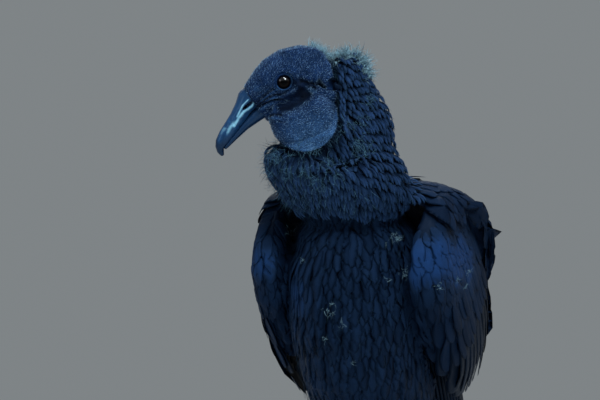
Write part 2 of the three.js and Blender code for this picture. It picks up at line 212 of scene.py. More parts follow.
def fibreMaterial(name, dark, light, roughness):
    shading = Shading(name, {
        "Roughness": roughness, "Specular IOR Level": 0.2, "Specular Tint": (0.4, 0.7, 1.0)})
    return shading.finish(shading.mix(shading.read("tone"), dark, light), shading.noise(900.0), 0.2, 0.0002)


def eyeMaterial(look):
    shading = Shading("eyeWet", {"Roughness": 0.01})
    shading.feed(shading.shader, {"Specular IOR Level": shading.read("wet")})
    off = shading.read("off")
    inIris = shading.remap(off, look["pupilRadius"] - 0.2, look["pupilRadius"] + 0.2)
    outIris = shading.remap(off, look["irisRadius"] - 0.8, look["irisRadius"])
    rays = shading.mix(shading.noise(900.0), look["edge"], look["iris"])
    return shading.finish(shading.mix(outIris, shading.mix(inIris, look["pupil"], rays), look["edge"]))


plumageLook = {
    "dark": (0.0020, 0.0058, 0.0165), "light": (0.0125, 0.0330, 0.0840), "rim": (0.013, 0.034, 0.075),
    # the colour of the painted sky sheen, mixed in where a feather's tone is over 1
    "paintedSheen": (0.016, 0.066, 0.230), "glint": (0.30, 0.58, 1.0), "roughness": 0.55, "sheen": 0.0, "gloss": 0.05,
    "shade": 0.0,               # painted shade: how much darker a feather is towards its root, where the row above shadows it
    "rimShare": 0.10, "barbs": 150.0, "shaft": 0.0, "bump": 0.6,
}
ruffVaneLook = dict(
    plumageLook, dark=(0.0016, 0.0058, 0.0180), light=(0.0260, 0.0700, 0.2000), rim=(0.060, 0.140, 0.290),
    # shade: painted shade darkens each ruff feather towards its root, between the rolls
    roughness=0.6, sheen=0.01, gloss=0.08, shade=0.85, rimShare=0.5, barbs=40.0, bump=0.5)
flightLook = dict(
    plumageLook, dark=(0.0012, 0.0034, 0.0090), light=(0.0048, 0.0130, 0.0320), rim=(0.008, 0.021, 0.046),
    glint=(0.35, 0.62, 1.0), roughness=0.45, rimShare=0.2, barbs=330.0, shaft=0.045, bump=0.35)
skinLook = {
    "crownDark": (0.0030, 0.0105, 0.0400), "crownLight": (0.0160, 0.0560, 0.1800),
    "cheekDark": (0.0120, 0.0420, 0.1100), "cheekLight": (0.0700, 0.1900, 0.4200),
    # furrow: the colour of painted shade in creases and hollows; under: skin under the coat, its own near-black
    # and painted shade between feathers
    "furrow": (0.0030, 0.0042, 0.0090), "under": (0.0030, 0.0085, 0.0240),
    "legDark": (0.040, 0.042, 0.048), "legLight": (0.170, 0.178, 0.190),
    "roughness": 0.6, "gloss": 0.13, "grain": 1150.0, "scales": 430.0, "glint": (0.35, 0.62, 1.0),
}
billLook = {
    # light: the colour of the painted highlights along the bill
    "dark": (0.004, 0.008, 0.026), "middle": (0.016, 0.066, 0.170), "light": (0.380, 0.780, 0.980),
    "roughness": 0.25, "coat": 0.12, "gloss": 0.3, "bump": 0.25, "glint": (0.45, 0.75, 1.0),
}
clawLook = {
    "dark": (0.005, 0.006, 0.009), "middle": (0.014, 0.016, 0.020), "light": (0.030, 0.033, 0.040),
    "roughness": 0.34, "coat": 0.2, "gloss": 0.4, "bump": 0.3, "glint": (0.8, 0.9, 1.0),
}
eyeLook = {
    "pupil": (0.0006, 0.0006, 0.0008), "iris": (0.0075, 0.0040, 0.0030), "edge": (0.0015, 0.0010, 0.0012),
    "pupilRadius": 2.5, "irisRadius": 4.9,      # mm
    "wet": 0.05,                # the gloss below the eye's middle
    "rings": 48,
}
plumage = vaneMaterial("plumage", plumageLook)
ruffVane = vaneMaterial("ruffVane", ruffVaneLook)
flightVane = vaneMaterial("flightVane", flightLook)
bareSkin = skinMaterial(skinLook)
billHorn = hornMaterial("billHorn", billLook)
clawHorn = hornMaterial("clawHorn", clawLook)
eyeWet = eyeMaterial(eyeLook)
paleDown = fibreMaterial("paleDown", (0.030, 0.070, 0.105), (0.400, 0.660, 0.780), 0.7)
darkDown = fibreMaterial("darkDown", (0.004, 0.013, 0.034), (0.130, 0.300, 0.430), 0.65)
stubbleFibre = fibreMaterial("stubbleFibre", (0.012, 0.038, 0.100), (0.400, 0.680, 1.000), 0.6)
print("materials: feathers, skin, horn, eye and down")


# ---- camera, floor and light

stageLook = {
    "viewTurn": 18.0,           # degrees round the bird from straight ahead
    "viewRise": 1.5,
    "aim": (-0.0290, -0.1270, 0.4286),
    "distance": 4.0,
    "lens": 300.0,
    "floorRadius": 2.6,
    "floorColour": (0.60, 0.61, 0.61),
    "worldColour": (0.44, 0.48, 0.50, 1),
    "worldStrength": 0.48,
    "lampAim": (0, -0.05, 0.33),
    "lamps": {                  # place, size, power and colour; catch is the light in the eye
        "key": ((1.3, -1.7, 2.6), 0.85, 42, (0.86, 0.94, 1.0)),
        "catch": ((0.25, -0.9, 2.6), 0.24, 11, (0.86, 0.94, 1.0)),
        "top": ((0.3, 0.3, 2.7), 1.1, 28, (0.84, 0.93, 1.0)),
        "fill": ((-1.9, -2.0, 1.2), 1.4, 9, (0.90, 0.96, 1.0)),
        "back": ((-0.9, 2.2, 1.5), 1.2, 9, (0.90, 0.96, 1.0)),
    },
}


def addObject(name, data):
    holder = bpy.data.objects.new(name, data)
    bpy.context.scene.collection.objects.link(holder)
    return holder


def buildStage(look):
    scene = bpy.context.scene
    turn, rise = math.radians(look["viewTurn"]), math.radians(look["viewRise"])
    back = Vector((math.sin(turn) * math.cos(rise), -math.cos(turn) * math.cos(rise), math.sin(rise)))
    lens = bpy.data.cameras.new("camera")
    lens.lens = look["lens"]
    lens.sensor_width = 36
    lens.clip_end = 40
    camera = addObject("camera", lens)
    camera.location = Vector(look["aim"]) + back * look["distance"]
    camera.rotation_euler = back.to_track_quat("Z", "Y").to_euler()
    scene.camera = camera

    world = bpy.data.worlds.new("studio")
    scene.world = world
    world.use_nodes = True
    backdrop = world.node_tree.nodes["Background"]
    backdrop.inputs["Color"].default_value = look["worldColour"]
    backdrop.inputs["Strength"].default_value = look["worldStrength"]
    scene.view_settings.view_transform = "Standard"

    for name, (spot, size, power, colour) in look["lamps"].items():
        lamp = bpy.data.lights.new(name, "AREA")
        lamp.size, lamp.energy, lamp.color = size, power, colour
        holder = addObject(name, lamp)
        holder.location = spot
        holder.rotation_euler = (Vector(spot) - Vector(look["lampAim"])).to_track_quat("Z", "Y").to_euler()

    disc = bmesh.new()
    bmesh.ops.create_circle(disc, cap_ends=True, radius=look["floorRadius"], segments=96)
    mesh = bpy.data.meshes.new("floor")
    disc.to_mesh(mesh)
    disc.free()
    mesh.materials.append(Shading("floorPaint", {"Roughness": 0.8}).finish(look["floorColour"]))
    addObject("floor", mesh)


buildStage(stageLook)
print("stage: camera, floor and light are set")


# ---- meshes from arrays and from the solids

def meshOf(name, points, faceSets, maps):
    mesh = bpy.data.meshes.new(name)
    corners = np.concatenate([faces.ravel() for faces in faceSets]).astype(np.int32)
    sizes = np.concatenate([np.full(len(faces), faces.shape[1]) for faces in faceSets])
    starts = np.concatenate([[0], np.cumsum(sizes)[:-1]]).astype(np.int32)
    mesh.vertices.add(len(points))
    mesh.vertices.foreach_set("co", points.astype(np.float32).ravel())
    mesh.loops.add(len(corners))
    mesh.loops.foreach_set("vertex_index", corners)
    mesh.polygons.add(len(sizes))
    mesh.polygons.foreach_set("loop_start", starts)
    mesh.update(calc_edges=True)
    for layerName, uv in maps.items():
        layer = mesh.uv_layers.new(name=layerName)
        layer.data.foreach_set("uv", uv[corners].astype(np.float32).ravel())
    return mesh


def finishPiece(name, mesh, values, material, replaced=()):
    for valueName, numbers in values.items():
        attribute = mesh.attributes.new(valueName, "FLOAT", "POINT")
        attribute.data.foreach_set("value", np.asarray(numbers, np.float32))
    mesh.polygons.foreach_set("use_smooth", np.ones(len(mesh.polygons), bool))
    mesh.materials.clear()
    mesh.materials.append(material)
    mesh.update()
    piece = addObject(name, mesh)
    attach(piece, "root")
    if replaced:
        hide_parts(*replaced)
    return piece


def mergedNodes(names):
    shell = bmesh.new()
    for name in names:
        shell.from_mesh(nodes[name].data)
    bmesh.ops.remove_doubles(shell, verts=shell.verts, dist=2e-6)
    mesh = bpy.data.meshes.new("merged")
    shell.to_mesh(mesh)
    shell.free()
    return mesh


def remeshed(names, voxel):
    carrier = addObject("carrier", mergedNodes(names))
    modifier = carrier.modifiers.new("remesh", "REMESH")
    modifier.mode = "VOXEL"
    modifier.voxel_size = voxel
    bpy.context.view_layer.update()
    mesh = bpy.data.meshes.new_from_object(carrier.evaluated_get(bpy.context.evaluated_depsgraph_get()))
    bpy.data.objects.remove(carrier)
    return mesh


def keepMainIsland(shell):
    unseen = set(shell.verts)
    islands = []
    while unseen:
        island = [unseen.pop()]
        for vert in island:     # the list grows while it is walked
            for edge in vert.link_edges:
                other = edge.other_vert(vert)
                if other in unseen:
                    unseen.remove(other)
                    island.append(other)
        islands.append(island)
    islands.sort(key=len)
    loose = [vert for island in islands[:-1] for vert in island]
    bmesh.ops.delete(shell, geom=loose, context="VERTS")


def pointsOf(mesh):
    points = np.empty(len(mesh.vertices) * 3)
    mesh.vertices.foreach_get("co", points)
    return points.reshape(-1, 3)


def setPoints(mesh, points):
    mesh.vertices.foreach_set("co", points.ravel())


def edgesOf(mesh):
    edges = np.empty(len(mesh.edges) * 2, np.int32)
    mesh.edges.foreach_get("vertices", edges)
    return edges.reshape(-1, 2)


def averaged(values, edges, rounds, share=0.5):
    values = values.reshape(len(values), -1).copy()
    degree = np.maximum(np.bincount(edges.ravel(), minlength=len(values)), 1)
    for _ in range(rounds):
        for column in range(values.shape[1]):
            line = values[:, column]
            total = (np.bincount(edges[:, 0], line[edges[:, 1]], len(line))
                     + np.bincount(edges[:, 1], line[edges[:, 0]], len(line)))
            values[:, column] = line + share * (total / degree - line)
    return values


def smoothed(points, edges, rounds):
    for _ in range(rounds):     # a step in and a step out, so that the form doesn't shrink
        points = averaged(points, edges, 1, 0.55)
        points = averaged(points, edges, 1, -0.57)
    return points


def surfaceOf(mesh):
    points = pointsOf(mesh)
    mesh.calc_loop_triangles()
    triangles = np.empty(len(mesh.loop_triangles) * 3, np.int32)
    mesh.loop_triangles.foreach_get("vertices", triangles)
    triangles = triangles.reshape(-1, 3)
    corners = points[triangles]
    cross = np.cross(corners[:, 1] - corners[:, 0], corners[:, 2] - corners[:, 0])
    vertexNormals = np.zeros_like(points)
    for corner in range(3):
        for axis in range(3):
            vertexNormals[:, axis] += np.bincount(triangles[:, corner], cross[:, axis], len(points))
    vertexNormals = unit(vertexNormals)
    return {
        "points": points,
        "triangles": triangles,
        "areas": np.linalg.norm(cross, axis=1) / 2,
        "centres": corners.mean(axis=1),
        "normals": unit(vertexNormals[triangles].mean(axis=1)),
        "vertexNormals": vertexNormals,
        "tree": BVHTree.FromPolygons(points.tolist(), triangles.tolist()),
    }


def nearestOn(surface, points):
    found = [surface["tree"].find_nearest(Vector(point)) for point in points]
    return np.array([hit[0] for hit in found]), surface["normals"][[hit[2] for hit in found]]


fleshNodes = ["head", "neck_upper", "neck_lower", "trunk"]
bladeNodes = ["tail"]
for side in sides:
    fleshNodes += [f"{part}_{side}" for part in ("scapulars", "wing_arm", "thigh", "shank", "foot")]
    bladeNodes += [f"wing_{part}_{side}" for part in ("secondaries", "primaries")]

owners = {name: surfaceOf(mergedNodes([name])) for name in fleshNodes + bladeNodes}
ownerPoints = [surface["points"] for surface in owners.values()]
ownerFaces = [surface["triangles"] for surface in owners.values()]
ownerOfFace = np.repeat(np.arange(len(owners)), [len(faces) for faces in ownerFaces])
firstPoints = np.cumsum([0] + [len(points) for points in ownerPoints])
ownerTree = BVHTree.FromPolygons(
    np.concatenate(ownerPoints).tolist(),
    np.concatenate([faces + first for faces, first in zip(ownerFaces, firstPoints)]).tolist())


def ownersOf(points):
    return ownerOfFace[[ownerTree.find_nearest(Vector(point))[2] for point in points]]


def ownedBy(numbers, *starts):
    return np.isin(numbers, [number for number, name in enumerate(owners) if name.startswith(starts)])


# ---- the bare face: a skull patch and a round cheek on either side, as (forward, up) in mm

bareFace = {
    "outline": [(36, 32), (-24, 32), (-36, 15), (-41, -2), (-36, -18), (-29.5, -27.5), (-21, -40), (0, -45),
                (20, -30), (36, -11.5)],
    "cheekCentre": (8.6, -31.9),
    "cheekRadius": 27.0,
    "pads": [   # rounded forms that stand out of the head: centre, radius, reach to the side, squareness
        ((8.6, -31.9), 27.0, 25.6, 3.4),
        ((-14.0, -20.0), 20.5, 19.6, 4.0),
    ],
    "rear": ((-6.0, -3.0), 40.0, 20.0, 2.5),    # the skull's hind part, likewise
    "furrow": [(-8.8, -22.8), (0.7, -22.8), (11.8, -19.6), (19.8, -13.3)],  # over the cheek's upper edge
    "furrowReach": 15.2,
    "groove": 2.2,              # how far the plumage sinks along the edge of the bare face
    "grooveWidth": 8.0,
}


def distanceTo(line, flat):
    line = np.array(line, float)
    best = np.full(len(flat), 1e9)
    for start, end in zip(line[:-1], line[1:]):
        step = end - start
        share = np.clip((flat - start) @ step / (step @ step), 0, 1)
        best = np.minimum(best, np.linalg.norm(flat - start - share[:, None] * step, axis=1))
    return best


def marksOf(rows, flat):
    # for each (amount, width, points of a line): the amount, and how near each point lies to the line, 0 to 1
    for amount, width, *line in rows:
        yield amount, np.exp(-(distanceTo(line, flat) / width) ** 2)


def outsideFace(local):
    # distance from the edge of the bare face in mm, negative on bare skin
    flat = local[:, :2]
    outline = np.array(bareFace["outline"], float)
    inside = np.zeros(len(flat), bool)
    for (startX, startY), (endX, endY) in zip(outline, np.roll(outline, -1, axis=0)):
        if startY != endY:
            crossing = startX + (endX - startX) * (flat[:, 1] - startY) / (endY - startY)
            inside ^= ((startY > flat[:, 1]) != (endY > flat[:, 1])) & (flat[:, 0] < crossing)
    gap = distanceTo(np.vstack((outline, outline[:1])), flat)
    cheek = np.linalg.norm(flat - bareFace["cheekCentre"], axis=1) - bareFace["cheekRadius"]
    return np.minimum(np.where(inside, -gap, gap), cheek)


def shapeFace(points, normals):
    local = toHead(points)
    near = np.linalg.norm(local - (-5, -18, 0), axis=1) < 75
    for centre, radius, reach, power in bareFace["pads"]:
        flat = local[:, :2] - centre
        level = ((np.linalg.norm(flat, axis=1) / radius) ** power
                 + (np.abs(local[:, 2]) / reach) ** power) ** (1 / power)
        swell = np.where(near & (level < 1) & (level > 0.55), 1 / np.maximum(level, 0.55), 1.0)
        local[:, :2] = centre + flat * swell[:, None]
        local[:, 2] *= swell
    wanted = np.zeros(len(local))
    for centre, radius, reach, power in [bareFace["rear"]] + bareFace["pads"]:
        away = np.linalg.norm(local[:, :2] - centre, axis=1) / radius
        wanted = np.maximum(wanted, reach * np.clip(1 - away ** power, 0, 1) ** (1 / power))
    share = ease(-local[:, 0], 12, 20) * ease(np.abs(local[:, 2]), 5, 9) * near
    share *= (1 - ease(outsideFace(local), -1, 1)) * (wanted > 6)
    local[:, 2] += np.sign(local[:, 2]) * (wanted - np.abs(local[:, 2])) * share
    # the furrow between cheek and face
    edge = np.interp(local[:, 0], *np.array(bareFace["furrow"]).T)
    below = (edge - local[:, 1]) * 0.9
    cheekRise = np.sqrt(1 - (1 - np.clip(below / 11, 0, 1)) ** 2)
    cap = bareFace["furrowReach"] + np.where(below > 0, 11 * cheekRise, 5.0 * ease(-below, 5.5, 12.0))
    reach = np.abs(local[:, 2])
    share = ease(local[:, 0], -15, -8) * (1 - ease(local[:, 0], 19, 25)) * (reach > 7) * near
    local[:, 2] = np.sign(local[:, 2]) * (reach - share * np.maximum(reach - cap, 0))
    outside = outsideFace(local)
    sink = bareFace["groove"] * (1 - ease(outside, 0, bareFace["grooveWidth"])) * (outside > 0) * near
    sink *= ease(reach, 6, 12) * ease(-local[:, 1], 18, 32)
    return fromHead(local) - normals * sink[:, None] / 1000


# The whole bird's outer form, which every feather follows.
formMesh = remeshed(fleshNodes + bladeNodes, 0.0024)
formPoints = smoothed(pointsOf(formMesh), edgesOf(formMesh), 4)
setPoints(formMesh, formPoints)
form = surfaceOf(formMesh)
formOwners = ownersOf(form["centres"])
setPoints(formMesh, shapeFace(formPoints, form["vertexNormals"]))
form = surfaceOf(formMesh)
print("form:", len(form["triangles"]), "triangles")


# ---- the skin, one piece under the whole coat

skinShape = {
    "voxel": 0.0018,
    # how far inside the form the skin lies, mm
    "coatDepth": {"neck": 4.2, "trunk": 3.6, "thigh": 3.0, "wing_arm": 2.2, "scapulars": 1.3},
    "finer": [  # radius in metres and places in head mm, where the faces are halved
        (0.056, [(0, -18, 0)]),
        (0.027, [(6, -4, 19), (6, -4, -19)]),
        (0.0125, [(1, 0, 17), (1, 0, -17), (16, -2, 15), (16, -2, -15)]),
    ],
    "legTop": 0.125,            # m, the height that the finer faces of the legs reach
    "eyeOpening": 5.75,         # mm
    "eyeRim": 18.7,             # how far the lids stand out from the middle of the head, mm
    "scuteStep": 3.1,           # mm from scale to scale on toes and shanks
    "scuteRise": 0.34,
}
# Rows of depth or share, width and a line that runs (forward, up) on the side of the head, all in mm.
# Depth is inwards, so folds that stand out are negative.
faceFolds = [
    (0.55, 0.5, (9.2, 3.6), (16.0, 3.9), (22.3, 4.7), (28.0, 5.4)),
    (1.0, 0.6, (9.6, 1.8), (15.3, 2.5), (20.9, 3.2), (26.9, 3.6)),
    (-0.45, 0.7, (10.6, 0.2), (17.0, 1.3), (23.0, 2.2)),
    (1.1, 0.65, (9.6, -5.2), (12.1, -2.1), (15.1, -0.8), (18.4, 0.0), (23.4, 0.8), (28.0, 1.8)),
    (-0.75, 0.85, (10.5, -6.4), (13.5, -4.3), (17.0, -2.1), (22.0, -0.8)),
    (1.6, 0.75, (11.0, -9.0), (14.0, -5.8), (17.4, -3.4), (20.4, -2.2), (24.8, -0.9), (28.9, 0.6)),
    (-0.5, 1.5, (12.5, -10.0), (17.0, -6.8), (23.0, -4.4), (28.0, -2.8)),
    (1.5, 1.0, (25.5, -11.5), (22.7, -13.4), (20.6, -16.4)),
    (-0.8, 1.0, (27.5, -13.5), (24.2, -16.2), (22.0, -19.5)),
    (0.7, 0.8, (28.2, -17.0), (25.2, -19.5), (23.4, -23.0)),
    (1.9, 1.8, (-10.3, -8.5), (-12.7, -14.0), (-13.8, -20.6)),
    (-0.9, 1.4, (-13.6, -7.0), (-15.8, -13.6), (-16.8, -20.0)),
    (-1.1, 1.5, (-7.0, -10.5), (-9.6, -15.6), (-10.6, -21.5)),
    (1.0, 1.8, (-3.5, -8.0), (-3.0, -13.0), (0.0, -17.0)),
    (0.5, 0.7, (6.0, -11.5), (2.0, -15.0), (-2.0, -19.0)),
    (0.45, 0.7, (9.5, -11.5), (6.0, -15.5), (2.0, -19.5)),
    (0.4, 0.8, (9.5, 10.0), (4.0, 12.3), (-3.0, 11.9), (-8.6, 8.0)),
    (0.4, 0.8, (14.0, 9.5), (20.0, 10.4), (26.5, 11.6)),
    (0.3, 0.8, (13.0, 13.5), (19.5, 13.6), (25.5, 15.0)),
]
paintedRidgeHighlights = [  # painted highlights: folds that catch the light
    (0.55, 0.5, (10.8, 0.3), (17.0, 1.4), (23.0, 2.3)),
    (0.9, 0.9, (10.5, -6.6), (13.5, -4.5), (17.0, -2.4)),
    (0.6, 0.8, (18.0, -5.6), (23.0, -3.4), (28.5, -1.4)),
    (0.4, 0.5, (13.0, 5.0), (18.0, 5.6), (24.0, 6.6)),
    (0.5, 1.4, (16.5, 8.0), (21.0, 11.5), (18.5, 13.0)),
    (0.8, 1.8, (-9.0, -17.5), (-11.5, -22.0)),
    (0.7, 0.7, (27.0, -13.8), (24.2, -16.4), (22.4, -19.5)),
    (0.8, 0.5, (7.5, -1.4), (8.6, 0.3)),
]
paintedShadeHollows = [  # painted shade: creases and hollows of the bare skin, darkened
    (0.62, 5.2, (9.0, -8.5), (3.0, -13.0), (-4.0, -16.0)),
    (0.85, 4.6, (16.5, -13.6), (10.5, -17.5), (2.5, -20.2), (-5.5, -20.6)),
    (0.75, 3.8, (-6.0, -5.5), (-7.0, -10.5), (-4.0, -18.5)),
    (0.92, 2.3, (-10.3, -8.8), (-12.7, -14.0), (-13.8, -20.6)),
    (0.95, 1.5, (25.5, -11.5), (22.7, -13.4), (20.6, -16.4)),
    (0.92, 1.0, (11.0, -8.6), (14.0, -5.8), (17.4, -3.4), (20.4, -2.2), (28.9, 0.6)),
    (0.85, 0.8, (9.6, -5.2), (12.1, -2.1), (18.4, 0.0), (28.0, 1.8)),
    (0.8, 0.7, (9.6, 1.8), (15.3, 2.5), (26.9, 3.6)),
    (0.6, 0.6, (9.2, 3.6), (16.0, 3.9), (28.0, 5.4)),
    (0.45, 3.4, (13.0, 7.0), (20.0, 8.2), (27.0, 8.8)),
]
lidRings = [  # radius round the eye, depth, width and how far the ring is puckered, mm
    (6.5, -0.35, 0.5, 0.12), (7.5, 0.6, 0.5, 0.05), (8.4, -0.35, 0.55, 0.2), (9.4, 0.4, 0.5, 0.08),
    (10.6, -0.15, 0.6, 0.12),
]


def carveHead(points, normals, headShare):
    local = toHead(points)
    flat = local[:, :2].copy()
    sideShare = ease(np.abs(local[:, 2]), 3.0, 9.0) * headShare
    push = np.zeros(len(points))
    for depth, mark in marksOf(faceFolds, flat):
        push -= depth * mark
    # the bead in the eye's corner
    push += 0.75 * np.exp(-(np.linalg.norm(flat - (8.3, -0.6), axis=1) / 0.75) ** 2)
    ring = np.linalg.norm(flat * (0.97, 1.04), axis=1)
    turn = np.arctan2(flat[:, 1], flat[:, 0])
    fade = np.where(flat[:, 1] > 4, 0.5, 1.0)
    for radius, depth, width, pucker in lidRings:
        wave = pucker * np.sin(turn * 15 + radius * 2.3) + pucker * 0.6 * np.sin(turn * 26 + radius)
        push -= (depth + wave) * fade * np.exp(-((ring - radius) / width) ** 2)
    points = points + normals * (push * sideShare)[:, None] / 1000
    # lids: the skin dips behind the eyeball inside the opening and stands proud of it at the rim
    opening, rim = skinShape["eyeOpening"], skinShape["eyeRim"]
    near = (ring < 9.0) & (np.abs(local[:, 2]) > 8) & (headShare > 0.5)
    snap = near & (np.abs(ring - opening) < 0.3)
    local = toHead(points)
    local[snap, :2] *= (opening / ring[snap])[:, None]
    ring[snap] = opening
    wanted = np.interp(ring, (0, opening - 0.5, opening - 0.05, opening + 0.1, opening + 0.7, 6.9, 8.8),
                       (15.2, 15.4, rim - 1.7, rim - 0.25, rim, rim - 0.5, rim - 0.9))
    wanted += push * (ring > opening + 0.3)
    hold = (1 - ease(ring, 6.8, 8.8)) * near
    local[:, 2] += (np.sign(local[:, 2]) * wanted - local[:, 2]) * hold
    return fromHead(local)


def startSkin():
    # finer faces where the eyes, folds and scales are
    mesh = remeshed(fleshNodes + ["eye_left", "eye_right"], skinShape["voxel"])
    shell = bmesh.new()
    shell.from_mesh(mesh)
    keepMainIsland(shell)
    for radius, spots in skinShape["finer"]:
        centres = [Vector(fromHead(np.array(spot, float))) for spot in spots]
        close = {edge for vert in shell.verts if any((vert.co - centre).length < radius for centre in centres)
                 for edge in vert.link_edges}
        bmesh.ops.subdivide_edges(shell, edges=list(close), cuts=1, use_grid_fill=True)
    legs = [edge for edge in shell.edges
            if edge.verts[0].co.z < skinShape["legTop"] and abs(edge.verts[0].co.y + 0.06) < 0.075]
    bmesh.ops.subdivide_edges(shell, edges=legs, cuts=1, use_grid_fill=True)
    bmesh.ops.triangulate(shell, faces=[face for face in shell.faces if len(face.verts) > 4])
    shell.to_mesh(mesh)
    shell.free()
    return mesh


def addScutes(points, normals, tone, numbers, leg):
    # scales across the tops of the toes and down the front of the shanks
    step, rise = skinShape["scuteStep"] / 1000, skinShape["scuteRise"] / 1000
    low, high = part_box("trunk")
    for side, sign in sides.items():
        lowest = owners[f"shank_{side}"]["points"]
        lowest = lowest[lowest[:, 2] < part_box(f"shank_{side}")[0].z + 0.004]
        away = np.linalg.norm((points - lowest.mean(axis=0))[:, :2], axis=1)
        here = np.sign(points[:, 0] - low.x / 2 - high.x / 2) == sign
        for part, travel, face in (("foot", away, normals[:, 2]), ("shank", points[:, 2], -normals[:, 1])):
            phase = (travel / step) % 1
            lift = np.sqrt(np.clip(1 - (2 * phase - 1) ** 2, 0, 1))
            share = ownedBy(numbers, part) * here * leg * ease(face, 0.05, 0.55)
            points += normals * (share * (lift - 0.5) * rise * 2)[:, None]
            tone = np.where(share > 0.05, tone * (1 - share * 0.55 * (1 - lift)), tone)
    points[:, 2] = np.maximum(points[:, 2], 0.0)
    return tone


def buildSkin():
    mesh = startSkin()
    edges = edgesOf(mesh)
    points = smoothed(pointsOf(mesh), edges, 5)
    numbers = ownersOf(points)
    depth = np.zeros(len(points))
    for part, amount in skinShape["coatDepth"].items():
        depth[ownedBy(numbers, part)] = amount
    depth = averaged(depth, edges, 7)[:, 0]
    leg = averaged(ownedBy(numbers, "shank", "foot").astype(float), edges, 2)[:, 0]
    setPoints(mesh, points)
    points = shapeFace(points, surfaceOf(mesh)["vertexNormals"])
    setPoints(mesh, points)
    normals = surfaceOf(mesh)["vertexNormals"]
    local = toHead(points)
    bare = (1 - ease(outsideFace(local), -0.5, 0.5)) * (np.abs(local[:, 2]) < 32)
    points = points - normals * (depth * (1 - bare))[:, None] / 1000
    points = carveHead(points, normals, ease(bare, 0.3, 0.8))
    # the skin laps over the root of the horn
    meets = ease(local[:, 0], 22, 26) * bare
    points = points + normals * (meets * 0.0007)[:, None]
    meets *= ease(normals @ headForward, 0.2, 0.6) * (local[:, 1] > -13)
    points = points + headForward * (meets * 0.0016)[:, None]

    tone = np.ones(len(points))
    # painted shade in creases and hollows lowers the skin's tone
    for share, mark in marksOf(paintedShadeHollows, local[:, :2]):
        tone *= 1 - share * mark * bare * ease(np.abs(local[:, 2]), 3, 9)
    downwards, backwards = (local[:, 0] - local[:, 1]) * 0.7071, -(local[:, 0] + local[:, 1]) * 0.7071
    cheek = ease(downwards, 12, 50) * ease(backwards, -12, 24)
    lid = np.exp(-((np.linalg.norm(local[:, :2], axis=1) - 6.4) / 0.6) ** 2) * ease(-local[:, 1], -5, 2)
    cheek = np.maximum(cheek, 0.9 * lid)
    # painted highlights on the folds raise the cheek mask, so they take the lighter cheek colours
    for share, mark in marksOf(paintedRidgeHighlights, local[:, :2]):
        cheek = np.maximum(cheek, share * mark)
    tone = addScutes(points, normals, tone, numbers, leg)
    setPoints(mesh, points)
    values = {"bare": bare, "leg": leg, "tone": tone, "cheek": cheek}
    return finishPiece("skin", mesh, values, bareSkin, fleshNodes)


skin = buildSkin()
skinSurface = surfaceOf(skin.data)
print("skin:", len(skin.data.polygons), "faces")


# ---- where a tuft's colour patch lies: its root's place on an unwrap of the form

def buildUnwrap():
    mesh = remeshed(fleshNodes + bladeNodes, 0.0065)
    carrier = addObject("unwrapCarrier", mesh)
    bpy.context.view_layer.objects.active = carrier
    carrier.select_set(True)
    bpy.ops.object.mode_set(mode="EDIT")
    bpy.ops.mesh.select_all(action="SELECT")
    bpy.ops.uv.smart_project(angle_limit=math.radians(66), island_margin=0.004)
    bpy.ops.object.mode_set(mode="OBJECT")
    corners = np.empty(len(mesh.loops) * 2)
    mesh.uv_layers.active.data.foreach_get("uv", corners)
    corners = corners.reshape(-1, 2)
    faces = [(list(face.vertices), corners[face.loop_start:face.loop_start + face.loop_total])
             for face in mesh.polygons]
    points = [vert.co.copy() for vert in mesh.vertices]
    tree = BVHTree.FromPolygons(points, [face[0] for face in faces])
    bpy.data.objects.remove(carrier)

    def bakePlaces(roots):
        spots = np.empty((len(roots), 2))
        for k, root in enumerate(roots):
            hit, _, number, _ = tree.find_nearest(Vector(root))
            verts, uv = faces[number]
            spots[k] = np.array(interpolate.poly_3d_calc([points[v] for v in verts], hit)) @ uv
        return np.clip(spots, 0.003, 0.997)
    return bakePlaces


bakePlaces = buildUnwrap()
patchSize = 0.003
print("unwrap is ready")


# ---- feathers: every vane is a thin closed blade with a ridge along its shaft

# where a vane's sections lie along it, and their share of its width
contourShape = np.array(((0, 0.13, 0.30, 0.48, 0.64, 0.78, 0.89, 0.96, 1),
                         (0.24, 0.62, 0.88, 1.0, 0.98, 0.86, 0.66, 0.40, 0.10)))
rollShape = np.array(((0, 0.22, 0.44, 0.62, 0.78, 0.91, 1), (0.35, 0.78, 1.0, 1.0, 0.86, 0.55, 0.16)))
remexShape = np.array(((0, 0.08, 0.17, 0.28, 0.40, 0.52, 0.64, 0.75, 0.84, 0.91, 0.96, 0.99, 1),
                       (0.30, 0.62, 0.84, 0.95, 1.0, 1.0, 0.99, 0.97, 0.90, 0.76, 0.56, 0.34, 0.14)))
# places across a vane, and the share of its thickness above the middle there
crossSections = {
    "blade": np.array(((-1.0, -0.55, 0.0, 0.55, 1.0, 0.5, -0.5), (0.0, 0.55, 1.0, 0.55, 0.0, -0.45, -0.45))),
    "tuft": np.array(((-1.0, 0.0, 1.0, 0.5, -0.5), (0.0, 1.0, 0.0, -0.45, -0.45))),
}


def tubeBatch(points, stations, crossPlaces, roots, tone):
    # closed tubes from rings of points, one tube to a root
    count, steps, ringSize = points.shape[:3]
    corner = np.arange(count * steps * ringSize).reshape(count, steps, ringSize)
    turned = np.roll(corner, -1, axis=2)
    walls = np.stack((corner[:, :-1], turned[:, :-1], turned[:, 1:], corner[:, 1:]), axis=-1)
    vane = np.empty((count, steps, ringSize, 2))
    vane[..., 0] = stations[None, :, None]
    vane[..., 1] = crossPlaces
    vane = vane.reshape(-1, 2)
    spots = np.repeat(bakePlaces(roots), steps * ringSize, axis=0)
    return {
        "points": points.reshape(-1, 3),
        "walls": walls.reshape(-1, 4),
        "caps": np.concatenate((corner[:, 0, ::-1], corner[:, -1])),
        "Vane": vane,
        "OFBake": spots + (vane * (1, 0.5) - (0.5, 0)) * patchSize,
        "tone": np.repeat(tone, steps * ringSize),
    }


